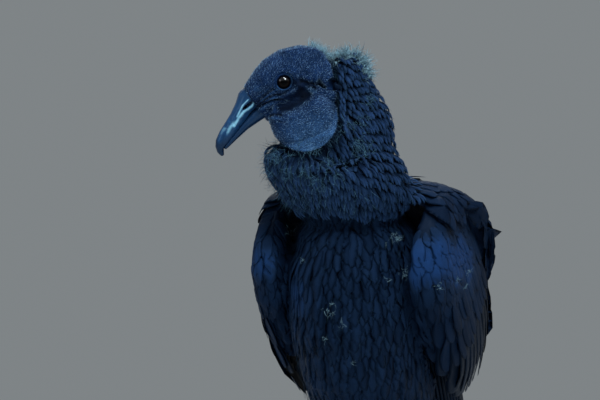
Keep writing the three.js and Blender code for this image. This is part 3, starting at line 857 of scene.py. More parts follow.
def addCoat(name, batches, material, replaced=()):
    firsts = np.cumsum([0] + [len(batch["points"]) for batch in batches])
    points, vane, bake, tone = (np.concatenate([batch[key] for batch in batches])
                                for key in ("points", "Vane", "OFBake", "tone"))
    walls, caps = (np.concatenate([batch[key] + first for batch, first in zip(batches, firsts)])
                   for key in ("walls", "caps"))
    mesh = meshOf(name, points, [walls, caps], {"Vane": vane, "OFBake": bake})
    finishPiece(name, mesh, {"tone": tone}, material, replaced)
    print(f"{name}: {2 * len(walls) + (caps.shape[1] - 2) * len(caps)} triangles")


def traceLie(surface, roots, ups, flowOf, lengths, shape, look):
    here = roots.copy()
    heading = unit(tangential(flowOf(here, ups), ups))
    heading = unit(heading + np.cross(ups, heading) * look["swing"][:, None])
    path, pathUps = [here], [ups]
    for step in np.diff(shape[0]):
        stride = (lengths * step)[:, None]
        guess = here + heading * stride
        hits, newUps = nearestOn(surface, guess)
        pull = hits - guess
        size = np.linalg.norm(pull, axis=1, keepdims=True)
        here = guess + pull * np.minimum(1, look["give"] * stride / np.maximum(size, 1e-9))
        ups = unit(ups * 0.55 + newUps * 0.45)
        wanted = unit(tangential(flowOf(here, ups), ups))
        heading = unit(tangential(heading * (1 - look["steer"]) + wanted * look["steer"], ups))
        path.append(here)
        pathUps.append(ups)
    return np.stack(path, axis=1), np.stack(pathUps, axis=1)


def vaneBatch(paths, ups, widths, shape, look, dice):
    count = len(paths)
    stations, profile = shape
    crossPlaces, crossTop = crossSections[look.get("section", "blade")]
    heights = np.interp(stations, (0, 0.35, 0.7, 1), look["heights"]) / 1000
    offset = look.get("offset", np.zeros(count)) / 1000
    rise = heights[None] + (dice.normal(0, look["heightSpread"] / 1000, (count, 1)) + offset[:, None])
    spine = paths + ups * rise[:, :, None]
    ahead = unit(np.gradient(spine, axis=1))
    across = unit(np.cross(ups, ahead))
    outward = np.cross(ahead, across)
    half = widths[:, None] * profile[None]
    leftHalf = half * (1 + dice.normal(0, look["ragged"], half.shape))
    rightHalf = half * (1 + dice.normal(0, look["ragged"], half.shape))
    reach = np.where(crossPlaces[None, None] < 0, leftHalf[:, :, None], rightHalf[:, :, None]) * crossPlaces
    thick = look["thick"] / 1000 * (0.35 + 0.65 * (1 - stations))[None, :, None]
    drop = look["camber"] * half[:, :, None] * crossPlaces ** 2
    tilt = look.get("tilt", np.zeros(count))[:, None, None] * reach
    lift = crossTop * thick - drop - tilt
    points = spine[:, :, None] + across[:, :, None] * reach[..., None] + outward[:, :, None] * lift[..., None]
    tone = dice.uniform(*look.get("tones", (0, 1)), count) * look.get("toneShare", 1)
    batch = tubeBatch(points, stations, crossPlaces, paths[:, 0], tone)
    # painted sky sheen raises the feathers' tone where the sheen function gives it
    if "paintedSheenOf" in look:
        paintedSheen = look["paintedSheenOf"](toSource(batch["points"]))
        batch["tone"] += (1 - batch["tone"]) * np.minimum(1, paintedSheen * 3) + paintedSheen
    return batch


neighbours = [(dx, dy, dz) for dx in (-1, 0, 1) for dy in (-1, 0, 1) for dz in (-1, 0, 1)]


def scatter(surface, mask, spacing, dice):
    weights = surface["areas"] * mask
    total = weights.sum()
    count = int(total / spacing ** 2 * 9)
    faces = dice.choice(len(weights), count, p=weights / total)
    shares = dice.dirichlet((1, 1, 1), count)
    spots = np.einsum("ij,ijk->ik", shares, surface["points"][surface["triangles"][faces]])
    cells = {}
    kept = []
    for k, (x, y, z) in enumerate(np.floor(spots / spacing).astype(int)):
        near = (other for dx, dy, dz in neighbours for other in cells.get((x + dx, y + dy, z + dz), ()))
        if all((gap := spots[other] - spots[k]) @ gap >= spacing * spacing for other in near):
            cells.setdefault((x, y, z), []).append(k)
            kept.append(k)
    return spots[kept], surface["normals"][faces[kept]]


def alongLine(line):
    steps = np.diff(line, axis=0)

    def flowOf(points, _):
        best = np.full(len(points), 1e9)
        flow = np.zeros_like(points)
        for k, step in enumerate(steps):
            share = np.clip((points - line[k]) @ step / (step @ step), 0, 1)[:, None]
            gap = np.linalg.norm(points - line[k] - share * step, axis=1)
            closer = gap < best
            best = np.where(closer, gap, best)
            before, after = steps[max(k - 1, 0)], steps[min(k + 1, len(steps) - 1)]
            here = unit(before[None]) * (1 - share) * 0.5 + unit(step[None]) + unit(after[None]) * share * 0.5
            flow = np.where(closer[:, None], here, flow)
        return unit(flow)
    return flowOf


def steadyFlow(heading):
    return lambda points, ups: np.broadcast_to(heading, points.shape)


def layTract(roots, ups, flowOf, shape, look, dice):
    count = len(roots)
    size = dice.normal(1, look["sizeSpread"], count)
    settings = dict(look, swing=dice.normal(0, look["swingSpread"], count))
    paths, pathUps = traceLie(form, roots, ups, flowOf, look["length"] / 1000 * size, shape, settings)
    # a feather that would curl round a sharp edge is left out
    reach = np.linalg.norm(paths[:, -1] - paths[:, 0], axis=1)
    straight = reach > look["straight"] * look["length"] / 1000 * size
    paths, pathUps, size = paths[straight], pathUps[straight], size[straight]
    return vaneBatch(paths, pathUps, look["halfWidth"] / 1000 * size, shape, settings, dice), paths, pathUps


def scatterTract(starts, flowOf, look, seed, shape=contourShape):
    dice = np.random.default_rng(seed)
    centres = form["centres"]
    mask = ownedBy(formOwners, *starts) & (outsideFace(toHead(centres)) > 1.0)
    if "region" in look:
        mask &= look["region"](*toSource(centres).T)
    roots, ups = scatter(form, mask.astype(float), look["spacing"] / 1000, dice)
    return layTract(roots, ups, flowOf, shape, look, dice)


def paintedSkySheen(source):
    # painted sky sheen: the top of the folded wing, behind its wrist, is painted lighter and bluer where it
    # catches the sky
    x, y, z = source.T
    height = z - 384 - 4 * np.sin(y / 7)
    paintedSheen = 0.68 * np.exp(-np.where(height > 0, height / 15, height / 27) ** 2)
    streaks = 0.8 + 0.2 * np.sin(y * 1.9 + z * 0.7)
    return paintedSheen * streaks * ease(-y, -80, -5) * np.interp(x, (-60, -40, 40, 60), (0.6, 0, 0, 1))


def paintedFlapSheen(source):
    # painted sky sheen on the feathers that hang from the side of the breast
    x, y, z = source.T
    return 0.3 * np.exp(-((z - 352) / 26) ** 2) * np.exp(-((x + 36) / 16) ** 2)


def isUnderCape(x, y, z):
    return (z < 426) & (y < 30)


# Lengths are in mm; heights are how far a feather stands off the form along its shaft, and regions
# are in the part's own millimetres.
trunkLook = {
    "spacing": 5.5, "length": 26.0, "halfWidth": 4.6, "sizeSpread": 0.16, "swingSpread": 0.2, "steer": 0.6,
    "give": 0.55, "heights": (-2.8, -1.8, -1.0, -0.7), "camber": 0.08, "thick": 0.28, "ragged": 0.2,
    "heightSpread": 0.22, "section": "tuft", "straight": 0.7, "tones": (0.3, 1),
}
# painted shadow: the neck's foot, under the overhang of the ruff, gets darker feathers (tones 0 to 0.3)
neckFootLook = dict(trunkLook, tones=(0, 0.3), region=lambda x, y, z: z < 434)
flapLook = dict(
    trunkLook, spacing=5.2, length=30.0, halfWidth=4.2, heights=(-2.6, 0.2, 2.0, 2.2), ragged=0.24,
    paintedSheenOf=paintedFlapSheen, region=lambda x, y, z: (abs(x + 35) < 23) & (y < 5) & (z > 330) & (z < 392))
thighLook = dict(trunkLook, length=21.0, halfWidth=4.4, heights=(-2.4, -1.5, -0.8, -0.5))
scapularLook = dict(
    trunkLook, spacing=10.0, length=40.0, halfWidth=11.0, heights=(-1.6, -1.0, -0.5, -0.2), give=0.25,
    camber=0.05, ragged=0.04, swingSpread=0.1, section="blade", heightSpread=0.15, straight=0.86,
    tones=(0, 0.6), region=lambda *spot: ~isUnderCape(*spot))
armLook = dict(
    scapularLook, spacing=5.6, length=22.0, halfWidth=5.2, heights=(-1.9, -1.4, -0.9, -0.6), give=0.3,
    ragged=0.07, paintedSheenOf=paintedSkySheen, region=lambda x, y, z: z < 480)
innerArmLook = dict(armLook, region=isUnderCape)
mantleLook = dict(
    scapularLook, spacing=7.0, length=27.0, halfWidth=8.0, heights=(-1.4, 1.0, 2.7, 3.0), give=0.5,
    region=lambda x, y, z: (abs(z - 434) < 9) & (abs(y + 16) < 42))

# The lines that feathers run along, and the wing's own directions.
trunkLine = placeLine([
    (0, -14, 470), (0, -12, 438), (0, -10, 414), (0, -6, 376), (0, 8, 326), (0, 28, 278), (0, 56, 234),
    (0, 88, 202), (0, 116, 182), (0, 150, 150)])
scapularSpots = [(47, -50, 428), (46, -34, 430), (46, 4, 432), (52, 50, 421), (50, 81, 391), (48, 102, 355),
                 (48, 115, 322), (48, 124, 290)]
thighSpots = [(30, 6, 290), (32, 10, 254), (37, 13, 212), (41, 31, 166), (42, 49, 126), (43, 56, 100)]
wingHeading = np.array((0.0, 0.622, -0.783))
wingAcross = np.array((0.0, 0.783, 0.622))

bodyTracts = [
    scatterTract(["trunk"], alongLine(trunkLine), trunkLook, 101, rollShape),
    scatterTract(["trunk"], alongLine(trunkLine), flapLook, 102, rollShape),
    scatterTract(["neck_"], alongLine(trunkLine), neckFootLook, 103, rollShape),
]
thighTracts = [
    scatterTract([f"thigh_{side}"], alongLine(placeLine(thighSpots, sign)), thighLook, 110 + sign, rollShape)
    for side, sign in sides.items()
]
shoulderTracts = []
for side, sign in sides.items():
    arm, scapulars = f"wing_arm_{side}", f"scapulars_{side}"
    mantleHeading = unit(np.array((sign * 0.45, 0.3, -0.8)))
    shoulderTracts += [
        scatterTract([arm], steadyFlow(wingHeading), armLook, 120 + sign),
        scatterTract([scapulars], alongLine(placeLine(scapularSpots, sign)), scapularLook, 130 + sign),
        scatterTract([scapulars], steadyFlow(wingHeading), innerArmLook, 150 + sign),
        scatterTract([arm, scapulars], steadyFlow(mantleHeading), mantleLook, 140 + sign),
    ]
for part, tracts in (("body", bodyTracts), ("thigh", thighTracts), ("shoulder", shoulderTracts)):
    addCoat(f"{part}Feathers", [tract[0] for tract in tracts], plumage)


# ---- rows of coverts and flight feathers on each wing

wingLook = {
    "curlIn": 0.28,             # how steeply a feather turns in past the edge of the solid it follows
    "lobeOrigin": (50.0, 350.0),    # a point of the line where the coverts end (y, z in mm)
    "lobeReach": ((-74, 8), (-68, 26), (-53, 66), (-20, 85), (15, 94), (37, 75), (54, 44), (64, 14)),
}
covertLook = {
    "camber": 0.06, "thick": 0.45, "ragged": 0.02, "heightSpread": 0.3, "paintedSheenOf": paintedSkySheen, "tones": (0, 0.6),
}
covertRows = [
    dict(covertLook, count=15, across=(-66, 58), start=-16.0, length=40.0, halfWidth=8.6,
         heights=(-1.6, -0.8, 0.0, 0.6), lean=0.05),
    dict(covertLook, count=16, across=(-70, 56), start=-36.0, length=32.0, halfWidth=7.8,
         heights=(-1.8, -0.9, 0.1, 0.7), lean=0.04),
]
secondaryLook = {
    "count": 13, "across": (-66, 58), "start": -14.0, "halfWidth": 12.6, "heights": (-2.2, -1.6, -1.0, -0.6),
    "camber": 0.08, "thick": 0.9, "ragged": 0.015, "lean": 0.10, "heightSpread": 0.05, "stack": 0.10,
}
primaryLook = {
    "count": 10, "start": 0.16, "halfWidth": 10.5, "heights": (-0.4, -0.2, 0.0, 0.1), "camber": 0.10,
    "thick": 0.9, "ragged": 0.012, "lean": 0.12, "heightSpread": 0.03, "stack": 0.28,
    "tips": (0.965, 1.0, 1.0, 0.975, 0.935, 0.885, 0.83, 0.775, 0.72, 0.665),
}
handLead = placeLine([
    (49, -40, 368), (45, 0, 318), (43, 46, 266), (39, 98, 206), (35, 150, 148), (32, 206, 90)])
handTrail = placeLine([
    (58, 0, 392), (57, 50, 344), (52, 92, 296), (47, 138, 238), (41, 180, 174), (34, 220, 102)])


def alongHand(line, share):
    spot = np.clip(share, 0, 1) * (len(line) - 1)
    first = np.minimum(spot.astype(int), len(line) - 2)
    part = (spot - first)[..., None]
    return line[first] * (1 - part) + line[first + 1] * part


def castAcross(tree, flat, sign, fallback):
    # the outer face at each (y, z); past its edge a path curls in towards the body
    found = np.empty(flat.shape[:2] + (3,))
    ups = np.empty_like(found)
    for row in range(flat.shape[0]):
        last, up = fallback, Vector((sign, 0, 0))
        for k in range(flat.shape[1]):
            y, z = flat[row, k]
            hit, normal, _, _ = tree.ray_cast(Vector((sign * 0.3, y, z)), Vector((-sign, 0, 0)))
            if hit is not None and normal.x * sign > 0.25 and (k == 0 or abs(hit.x - last) < 0.006):
                last = hit.x
                up = (up * 0.6 + normal * 0.4).normalized()
            elif k:
                last -= sign * wingLook["curlIn"] * np.linalg.norm(flat[row, k] - flat[row, k - 1])
            found[row, k] = (last, y, z)
            ups[row, k] = up
    return found, ups


def layRow(tree, sign, ends, widths, shape, look, dice):
    # ends: where the feathers start and end, each as places across the wing and along it
    origin, shift = np.array(wingLook["lobeOrigin"]), sourceShift[1:]
    start, end = ((origin + across[:, None] * wingAcross[1:] + along[:, None] * wingHeading[1:] + shift) / 1000
                  for across, along in ends)
    stations = shape[0]
    flat = start[:, None] * (1 - stations)[None, :, None] + end[:, None] * stations[None, :, None]
    paths, ups = castAcross(tree, flat, sign, sign * 0.058)
    x = paths[:, :, 0]
    for _ in range(3):
        x[:, 1:-1] = (x[:, :-2] + 2 * x[:, 1:-1] + x[:, 2:]) / 4
    return layFlight(paths, ups, sign, widths, shape, look, dice)


def layFlight(paths, ups, sign, widths, shape, look, dice):
    settings = dict(look, tilt=np.full(look["count"], look["lean"] * sign),
                    offset=np.arange(look["count"]) * look.get("stack", 0.0))
    return vaneBatch(paths, ups, widths, shape, settings, dice)


def buildCoverts(tree, sign, look, dice):
    across = np.linspace(*look["across"], look["count"]) + dice.normal(0, 0.8, look["count"])
    start = look["start"] + dice.normal(0, 1.2, look["count"])
    length = look["length"] * dice.normal(1, 0.04, look["count"])
    widths = look["halfWidth"] / 1000 * dice.normal(1, 0.05, look["count"])
    return layRow(tree, sign, ((across, start), (across, start + length)), widths, contourShape, look, dice)


def buildSecondaries(tree, sign, look, dice):
    across = np.linspace(*look["across"], look["count"])
    tip = np.maximum(np.interp(across, *np.array(wingLook["lobeReach"]).T), 24)
    widths = look["halfWidth"] / 1000 * np.interp(across, (-66, -40, 58), (0.8, 1.0, 1.05))
    ends = (across, np.full(look["count"], look["start"])), (across * 0.985, tip)
    return layRow(tree, sign, ends, widths, remexShape, look, dice)


def buildPrimaries(tree, sign, look, dice):
    share = np.linspace(0.10, 0.90, look["count"])
    travel = look["start"] + (np.array(look["tips"])[:, None] - look["start"]) * remexShape[0][None]
    lead, trail = alongHand(handLead, travel), alongHand(handTrail, travel)
    chord = share[:, None, None] * np.ones_like(travel)[..., None]
    paths = lead * (1 - chord) + trail * chord
    if sign < 0:
        paths[:, :, 0] = 2 * (sourceShift[0] / 1000) - paths[:, :, 0]
    _, ups = castAcross(tree, paths[:, :, 1:], sign, paths[0, 0, 0])
    arch = 0.0045 * np.sin(np.pi * chord[..., 0]) * (1 - travel)
    paths[:, :, 0] += sign * (arch + 0.001)
    ups = unit(np.broadcast_to(np.array((sign, 0.0, 0.0)), paths.shape) * 0.7 + ups * 0.3)
    chordLength = np.linalg.norm(trail[:, 6] - lead[:, 6], axis=1)
    widths = np.minimum(look["halfWidth"] / 1000, chordLength * 0.30)
    return layFlight(paths, ups, sign, widths, remexShape, look, dice)


covertBatches = []
for side, sign in sides.items():
    dice = np.random.default_rng(200 + sign)
    secondaries, primaries = f"wing_secondaries_{side}", f"wing_primaries_{side}"
    lobe = surfaceOf(mergedNodes([f"wing_arm_{side}", secondaries]))["tree"]
    hand = surfaceOf(mergedNodes([primaries]))["tree"]
    covertBatches += [buildCoverts(lobe, sign, look, dice) for look in covertRows]
    flights = [buildSecondaries(lobe, sign, secondaryLook, dice),
               buildPrimaries(hand, sign, primaryLook, dice)]
    addCoat(f"flightFeathers.{side}", flights, flightVane, (secondaries, primaries))
addCoat("wingCoverts", covertBatches, plumage)


# ---- the tail's twelve feathers

tailLook = {
    "count": 12, "halfWidth": 9.4, "heights": (-1.0, 0.0, 0.0, 0.0), "camber": 0.07, "thick": 0.9,
    "ragged": 0.012, "heightSpread": 0.02, "start": (100.0, 200.0), "end": (228.0, 74.0), "fan": (15.0, 28.0),
    "arch": 4.5, "stack": 2.2,
}


def buildTail(look):
    dice = np.random.default_rng(301)
    middle = (look["count"] - 1) / 2
    fraction = (np.arange(look["count"]) - middle) / middle
    travel = remexShape[0][None] * (1 - 0.05 * fraction ** 2)[:, None]
    (startY, startZ), (endY, endZ), (narrow, wide) = look["start"], look["end"], look["fan"]
    x = fraction[:, None] * (narrow + (wide - narrow) * travel)
    paths = np.stack((x, startY + (endY - startY) * travel, startZ + (endZ - startZ) * travel), axis=-1)
    paths = (paths + sourceShift) / 1000
    out = unit(np.array((0.0, 0.70, 0.71)))
    lift = look["arch"] * (1 - fraction ** 2)[:, None] * (1 - 0.5 * travel) - look["arch"] * 0.45
    lift = lift + look["stack"] * (1 - np.abs(fraction))[:, None] - look["stack"] * 0.5
    paths += out * lift[..., None] / 1000
    ups = np.broadcast_to(out, paths.shape) + np.array((1.0, 0, 0)) * fraction[:, None, None] * 0.16
    widths = np.full(look["count"], look["halfWidth"] / 1000)
    return vaneBatch(paths, unit(ups), widths, remexShape, dict(look, tilt=fraction * 0.05), dice)


addCoat("tailFeathers", [buildTail(tailLook)], flightVane, ("tail",))


# ---- the ruff: soft rolls of short feathers round the neck

neckLine = placeLine([
    (-4, -41, 552), (0, -39, 524), (1, -37, 512), (2, -36, 496), (-8, -38, 481), (-13, -39, 468),
    (-8, -36, 448), (0, -28, 428), (0, -20, 404), (0, -16, 385)])
ruffLook = {
    "levels": (0.560, 0.424), "rowStep": ((0.42, 0.45, 0.49, 0.55), (8.6, 7.6, 6.0, 5.2)),  # rows, m and mm
    "spacing": 1.3, "length": 15.0, "halfWidth": 1.5, "sizeSpread": 0.05, "swingSpread": 0.16,
    "steer": 0.5, "give": 0.6, "heights": (-5.0, -1.4, 2.2, 1.4), "camber": 0.18, "thick": 0.5,
    "ragged": 0.16, "heightSpread": 0.2, "section": "tuft", "straight": 0.6,
    "drop": ((0.42, 0.45, 0.49, 0.54), (15.0, 12.0, 3.0, -3.0)),    # how much lower a row is at the back, mm
    "scallops": ((0.42, 0.47, 0.54), (14.0, 12.0, 8.0)),            # width of a lobe in a row, mm
    "scallopRise": 1.7,
    "halves": 0.478,            # the height at which the coat is parted into two pieces, m
    "frontStretch": 1.12,       # feathers under the throat hang this much longer
    "rayReach": 0.09,           # how far out the rays start that look for the neck, m
}
underRuffLook = dict(ruffLook, spacing=5.2, length=12.0, halfWidth=3.4, heights=(-4.2, -2.6, -1.4, -1.2),
                     region=lambda x, y, z: z > 424)


def backOfNeck(z):
    # where the nape faces: it turns from the head's own back to the body's down the neck
    turn = np.radians(np.interp(z, (0.415, 0.45, 0.49), (62, 30, 18)))
    return np.stack((np.cos(turn), np.sin(turn), np.zeros_like(turn)), axis=-1)


def neckFlow(points, ups):
    back = backOfNeck(points[:, 2])
    front = ease(-np.sum(ups * back, axis=1), 0.05, 0.8)
    low = ease(0.48 - points[:, 2], 0.0, 0.05)
    flow = back * ((1 - front) * (0.55 - 0.2 * low))[:, None]
    flow[:, 2] -= 0.85
    return unit(flow)


def ruffRoots(look, dice):
    onNeck = ownedBy(formOwners, "neck_")
    line = neckLine[np.argsort(neckLine[:, 2])]
    spacing = look["spacing"] / 1000
    roots, ups, lobes = [], [], []
    height, floor = look["levels"]
    shift = 0.0
    while height > floor:
        arc = shift
        shift = 0.5 - shift
        height -= np.interp(height, *look["rowStep"]) / 1000
        drop = np.interp(height, *look["drop"]) / 1000
        middle = [np.interp(height, line[:, 2], line[:, axis]) for axis in range(2)]
        back = backOfNeck(np.array([height]))[0]
        travelled = spacing * dice.uniform()
        last = None
        wave = dice.uniform(0, 6.28, 2)[0]
        for turn in np.radians(np.arange(0, 360, 0.6)):
            away = np.array((math.cos(turn), math.sin(turn), 0))
            level = height - drop * (away @ back) + 0.0011 * math.sin(5 * turn + wave)
            start = (middle[0] + away[0] * look["rayReach"], middle[1] + away[1] * look["rayReach"], level)
            hit, _, face, _ = form["tree"].ray_cast(Vector(start), -Vector(away), 0.12)
            if hit is None or not onNeck[face]:
                last = None
                continue
            spot = np.array(hit)
            travelled += 0 if last is None else np.linalg.norm(spot - last)
            last = spot
            if travelled > spacing:
                travelled = 0.0
                arc += look["spacing"] * 1.1 / np.interp(height, *look["scallops"])
                roots.append(spot + dice.normal(0, 0.0006, 3))
                ups.append(form["normals"][face])
                lobes.append(math.sqrt(1 - (2 * (arc % 1) - 1) ** 2))
    roots, ups, lobes = np.array(roots), np.array(ups), np.array(lobes)
    clear = outsideFace(toHead(roots)) > 0.8
    return roots[clear], ups[clear], lobes[clear]


def buildRuff(look):
    dice = np.random.default_rng(401)
    roots, ups, lobes = ruffRoots(look, dice)
    hang = 1 + (look["frontStretch"] - 1) * ease(-np.sum(ups * backOfNeck(roots[:, 2]), axis=1), 0.0, 0.7)
    hang *= np.interp(roots[:, 2], (0.44, 0.50, 0.55), (1.0, 0.85, 0.72)) * (0.68 + 0.46 * lobes)
    size = dice.normal(1, look["sizeSpread"], len(roots))
    settings = dict(look, swing=dice.normal(0, look["swingSpread"], len(roots)))
    lengths = look["length"] / 1000 * size * hang
    paths, pathUps = traceLie(form, roots, ups, neckFlow, lengths, rollShape, settings)
    batches = []
    for half in (roots[:, 2] > look["halves"], roots[:, 2] <= look["halves"]):
        # painted shade: feathers between the scallops' lobes are darker, through toneShare
        raised = dict(look, offset=(lobes[half] - 0.6) * look["scallopRise"],
                      toneShare=0.15 + 0.85 * lobes[half] ** 2)
        widths = look["halfWidth"] / 1000 * size[half]
        batches.append(vaneBatch(paths[half], pathUps[half], widths, rollShape, raised, dice))
    return batches, paths, pathUps


(ruffUpper, ruffLower), ruffPaths, ruffUps = buildRuff(ruffLook)
underRuff = scatterTract(["neck_"], neckFlow, underRuffLook, 402, rollShape)[0]
addCoat("ruffUpper", [ruffUpper, underRuff], ruffVane)
addCoat("ruffLower", [ruffLower], ruffVane)


# ---- strands: fine down and stubble, three-sided and tapered

def strandBatch(roots, headings, ups, look, size, dice, tone=None, stretch=1):
    # size scales each strand; tones are a range and a power to draw from where no tone is given
    count, steps = len(roots), look["steps"]
    curls = dice.normal(0, look["curl"], count)
    if tone is None:
        low, high, power = look["tones"]
        tone = dice.uniform(low, high, count) ** power
    headings, ups = unit(headings), unit(ups)
    side = unit(np.cross(headings, ups) + 1e-9)
    spin = dice.uniform(0, 2 * np.pi, count)[:, None]
    bend = unit(side * np.cos(spin) + np.cross(headings, side) * np.sin(spin))
    shares = np.linspace(0, 1, steps)
    angle = curls[:, None] * shares[None] ** 1.3
    heading = headings[:, None] * np.cos(angle)[..., None] + bend[:, None] * np.sin(angle)[..., None]
    stride = (look["length"] / 1000 * size * stretch / (steps - 1))[:, None, None]
    path = roots[:, None] + np.concatenate(
        (np.zeros((count, 1, 3)), np.cumsum(heading[:, :-1] * stride, axis=1)), axis=1)
    normal = unit(np.cross(heading, bend[:, None] + side[:, None] * 0.31 + 1e-6))
    binormal = np.cross(heading, normal)
    radius = look["radius"] / 1000 * np.sqrt(size)
    radius = (radius[:, None] * (1 - 0.8 * shares ** 1.5)[None])[..., None]
    points = np.stack([path + (normal * math.cos(turn) + binormal * math.sin(turn)) * radius
                       for turn in (0, 2 * math.pi / 3, 4 * math.pi / 3)], axis=2)
    return tubeBatch(points, shares, np.array((-1, 0, 1)), roots, tone)


# Lengths, radii and reaches are in mm.
stubbleLook = {
    "spacing": 0.82, "length": 1.7, "radius": 0.17, "curl": 0.35, "steps": 3, "lean": 0.8, "clearOfEye": 8.0,
    "tuft": (-10.5, -19.0),     # where the ear's longer stubble is, in head mm
}
napeLook = {
    "clump": 2.4, "strands": 8, "length": 10.5, "radius": 0.22, "curl": 3.0, "steps": 7, "ridge": 9.5,
    "tones": (0, 1, 0.8),
}
fringeLook = {
    "strands": 1, "length": 4.6, "radius": 0.085, "curl": 0.9, "steps": 5, "reach": 1.8, "lift": 1.4,
    "tones": (0, 0.7, 2),
}
bodyFringeLook = dict(
    fringeLook, strands=3, length=5.5, radius=0.10, curl=0.5, reach=4.5, lift=0.6, tones=(0, 0.34, 2))
throatLook = {
    "spacing": 2.3, "length": 9.5, "radius": 0.11, "curl": 1.3, "steps": 6, "outward": 0.8,
    "tones": (0, 1, 2),
}
seamLook = dict(throatLook, spacing=0.9, length=4.4, radius=0.12, curl=0.9, outward=0.35, tones=(0, 0.6, 2))
# Places of curls: across and up in mm as seen from the stage camera, reach and number of strands.
wispLook = {
    "length": 7.5, "radius": 0.11, "curl": 2.6, "steps": 8, "tones": (0.35, 1, 1), "places": [
        (15, 467, 6.5, 70), (12, 474, 4.5, 40), (20, 508, 4.5, 40), (-14, 456, 5.5, 45), (-31, 453, 4, 30),
        (-53, 463, 6, 60), (-43, 452, 6, 40), (-23, 446, 5, 30), (-6, 448, 5, 25), (-16, 441, 3, 16),
        (4, 488, 5, 20), (14, 491, 5, 25), (-58, 452, 5, 30), (-35, 470, 5, 30), (-24, 467, 5, 30),
    ],
}
strayDownAndHighlightLook = dict(wispLook, length=5.0, radius=0.10, places=[    # down caught on breast and wings, and a painted highlight of pale strands on the wing's wrist
    (41, 398, 5, 26), (36, 396, 4, 12), (-30, 380, 1, 6), (-47, 401, 5, 12), (98, 370, 3, 9), (74, 361, 3, 8),
    # (47, 370, 4, 26): a painted highlight on the wing's wrist, made of pale strands
    (88, 365, 3, 7), (96, 357, 2, 5), (47, 370, 4, 26), (-8, 347, 2, 7), (-9, 338, 2, 6), (-1, 330, 2, 7),
    (-13, 319, 3, 8), (7, 301, 2, 5), (-12, 341, 3, 6), (31, 366, 5, 5),
])


def buildStubble(look):
    dice = np.random.default_rng(501)
    values = {}
    for name in ("bare", "tone"):
        values[name] = np.empty(len(skin.data.vertices))
        skin.data.attributes[name].data.foreach_get("value", values[name])
        values[name] = values[name][skinSurface["triangles"]].min(axis=1)
    local = toHead(skinSurface["centres"])
    ring = np.linalg.norm(local[:, :2], axis=1)
    onEye = (ring < look["clearOfEye"]) & (np.abs(local[:, 2]) > 8)
    mask = (values["bare"] > 0.6) & (values["tone"] > 0.4) & ~onEye
    # thin towards the bill, thick on crown and cheek
    thin = np.where((local[:, 0] > 10) & (local[:, 1] > -14) & (local[:, 1] < 14), 0.12, 1.0)
    roots, ups = scatter(skinSurface, mask * thin, look["spacing"] / 1000, dice)
    local = toHead(roots)
    cheek = ease(-local[:, 1], 14, 24)[:, None]
    flow = -headForward + headUp * 0.15 - cheek * np.array((0, 0, 0.7))
    flow = unit(tangential(flow + dice.normal(0, 0.35, roots.shape), ups))
    size = dice.uniform(0.6, 1.25, len(roots))
    tone = dice.uniform(0, 1, len(roots)) ** 2.0 * (0.75 + 0.25 * cheek[:, 0])
    tuft = np.exp(-(np.linalg.norm(local[:, :2] - look["tuft"], axis=1) / 2.6) ** 2)
    return strandBatch(roots - ups * 0.0002, unit(flow + ups * look["lean"]), ups, look, size, dice,
                       np.maximum(tone, tuft * 0.85), 1 + 0.9 * tuft)


def buildNape(look):
    dice = np.random.default_rng(502)
    local = toHead(form["centres"])
    onTop = (np.abs(local[:, 2]) < look["ridge"]) & (form["centres"][:, 2] > headPlace[2] + 0.002)
    facing = form["normals"] @ (headBack * 0.6 + (0, 0, 0.8))
    behind = (local[:, 0] < -34) & (local[:, 0] > -70) & (facing > 0.1)
    roots, ups = scatter(form, (onTop & behind).astype(float), look["clump"] / 1000, dice)
    lean = ups * 0.8 + headBack * 0.35 + np.array((0, 0, 0.5)) + dice.normal(0, 0.4, roots.shape)
    roots, ups, lean = (np.repeat(values, look["strands"], axis=0) for values in (roots, ups, lean))
    roots = roots + tangential(dice.normal(0, 0.0006, roots.shape), ups)
    heading = unit(unit(lean) + dice.normal(0, 0.2, roots.shape))
    size = dice.uniform(0.4, 1.2, len(roots)) * (0.8 + 0.5 * ease(-toHead(roots)[:, 0], 40, 58))
    return strandBatch(roots - ups * 0.001, heading, ups, look, size, dice)


def buildFringe(paths, pathUps, look, seed):
    # fine barbs that free themselves from the feathers' edges
    dice = np.random.default_rng(seed)
    pick = np.repeat(np.arange(len(paths)), look["strands"])
    station = dice.integers(paths.shape[1] // 2, paths.shape[1] - 1, len(pick))
    ahead = unit(paths[pick, station + 1] - paths[pick, station])
    ups = pathUps[pick, station]
    across = np.cross(ups, ahead) * dice.uniform(-1, 1, (len(pick), 1))
    roots = paths[pick, station] + across * look["reach"] / 1000 + ups * (look["lift"] / 1000)
    heading = unit(ahead + across * 0.9 + ups * dice.uniform(-0.1, 0.55, (len(pick), 1)))
    return strandBatch(roots, heading, ups, look, dice.uniform(0.5, 1.4, len(pick)), dice)


def throatMask():
    height = form["centres"][:, 2]
    front = -np.sum(form["normals"] * backOfNeck(height), axis=1)
    mask = ownedBy(formOwners, "neck_") * ease(front, 0.1, 0.8) * ease(0.505 - height, 0, 0.02)
    return mask * ease(height - 0.42, 0, 0.02) * (outsideFace(toHead(form["centres"])) > 1)


def seamMask():
    # just outside the bare face, where the coat begins
    local = toHead(form["centres"])
    outside = outsideFace(local)
    near = (local[:, 0] < 12) & (np.linalg.norm(local, axis=1) < 75)
    return ((outside > -0.2) & (outside < 2.8) & near) * 1.0


def buildDown(mask, look, seed):
    dice = np.random.default_rng(seed)
    roots, ups = scatter(form, mask, look["spacing"] / 1000, dice)
    heading = unit(ups * look["outward"] + neckFlow(roots, ups) * 0.7 + dice.normal(0, 0.35, roots.shape))
    return strandBatch(roots, heading, ups, look, dice.uniform(0.5, 1.4, len(roots)), dice)


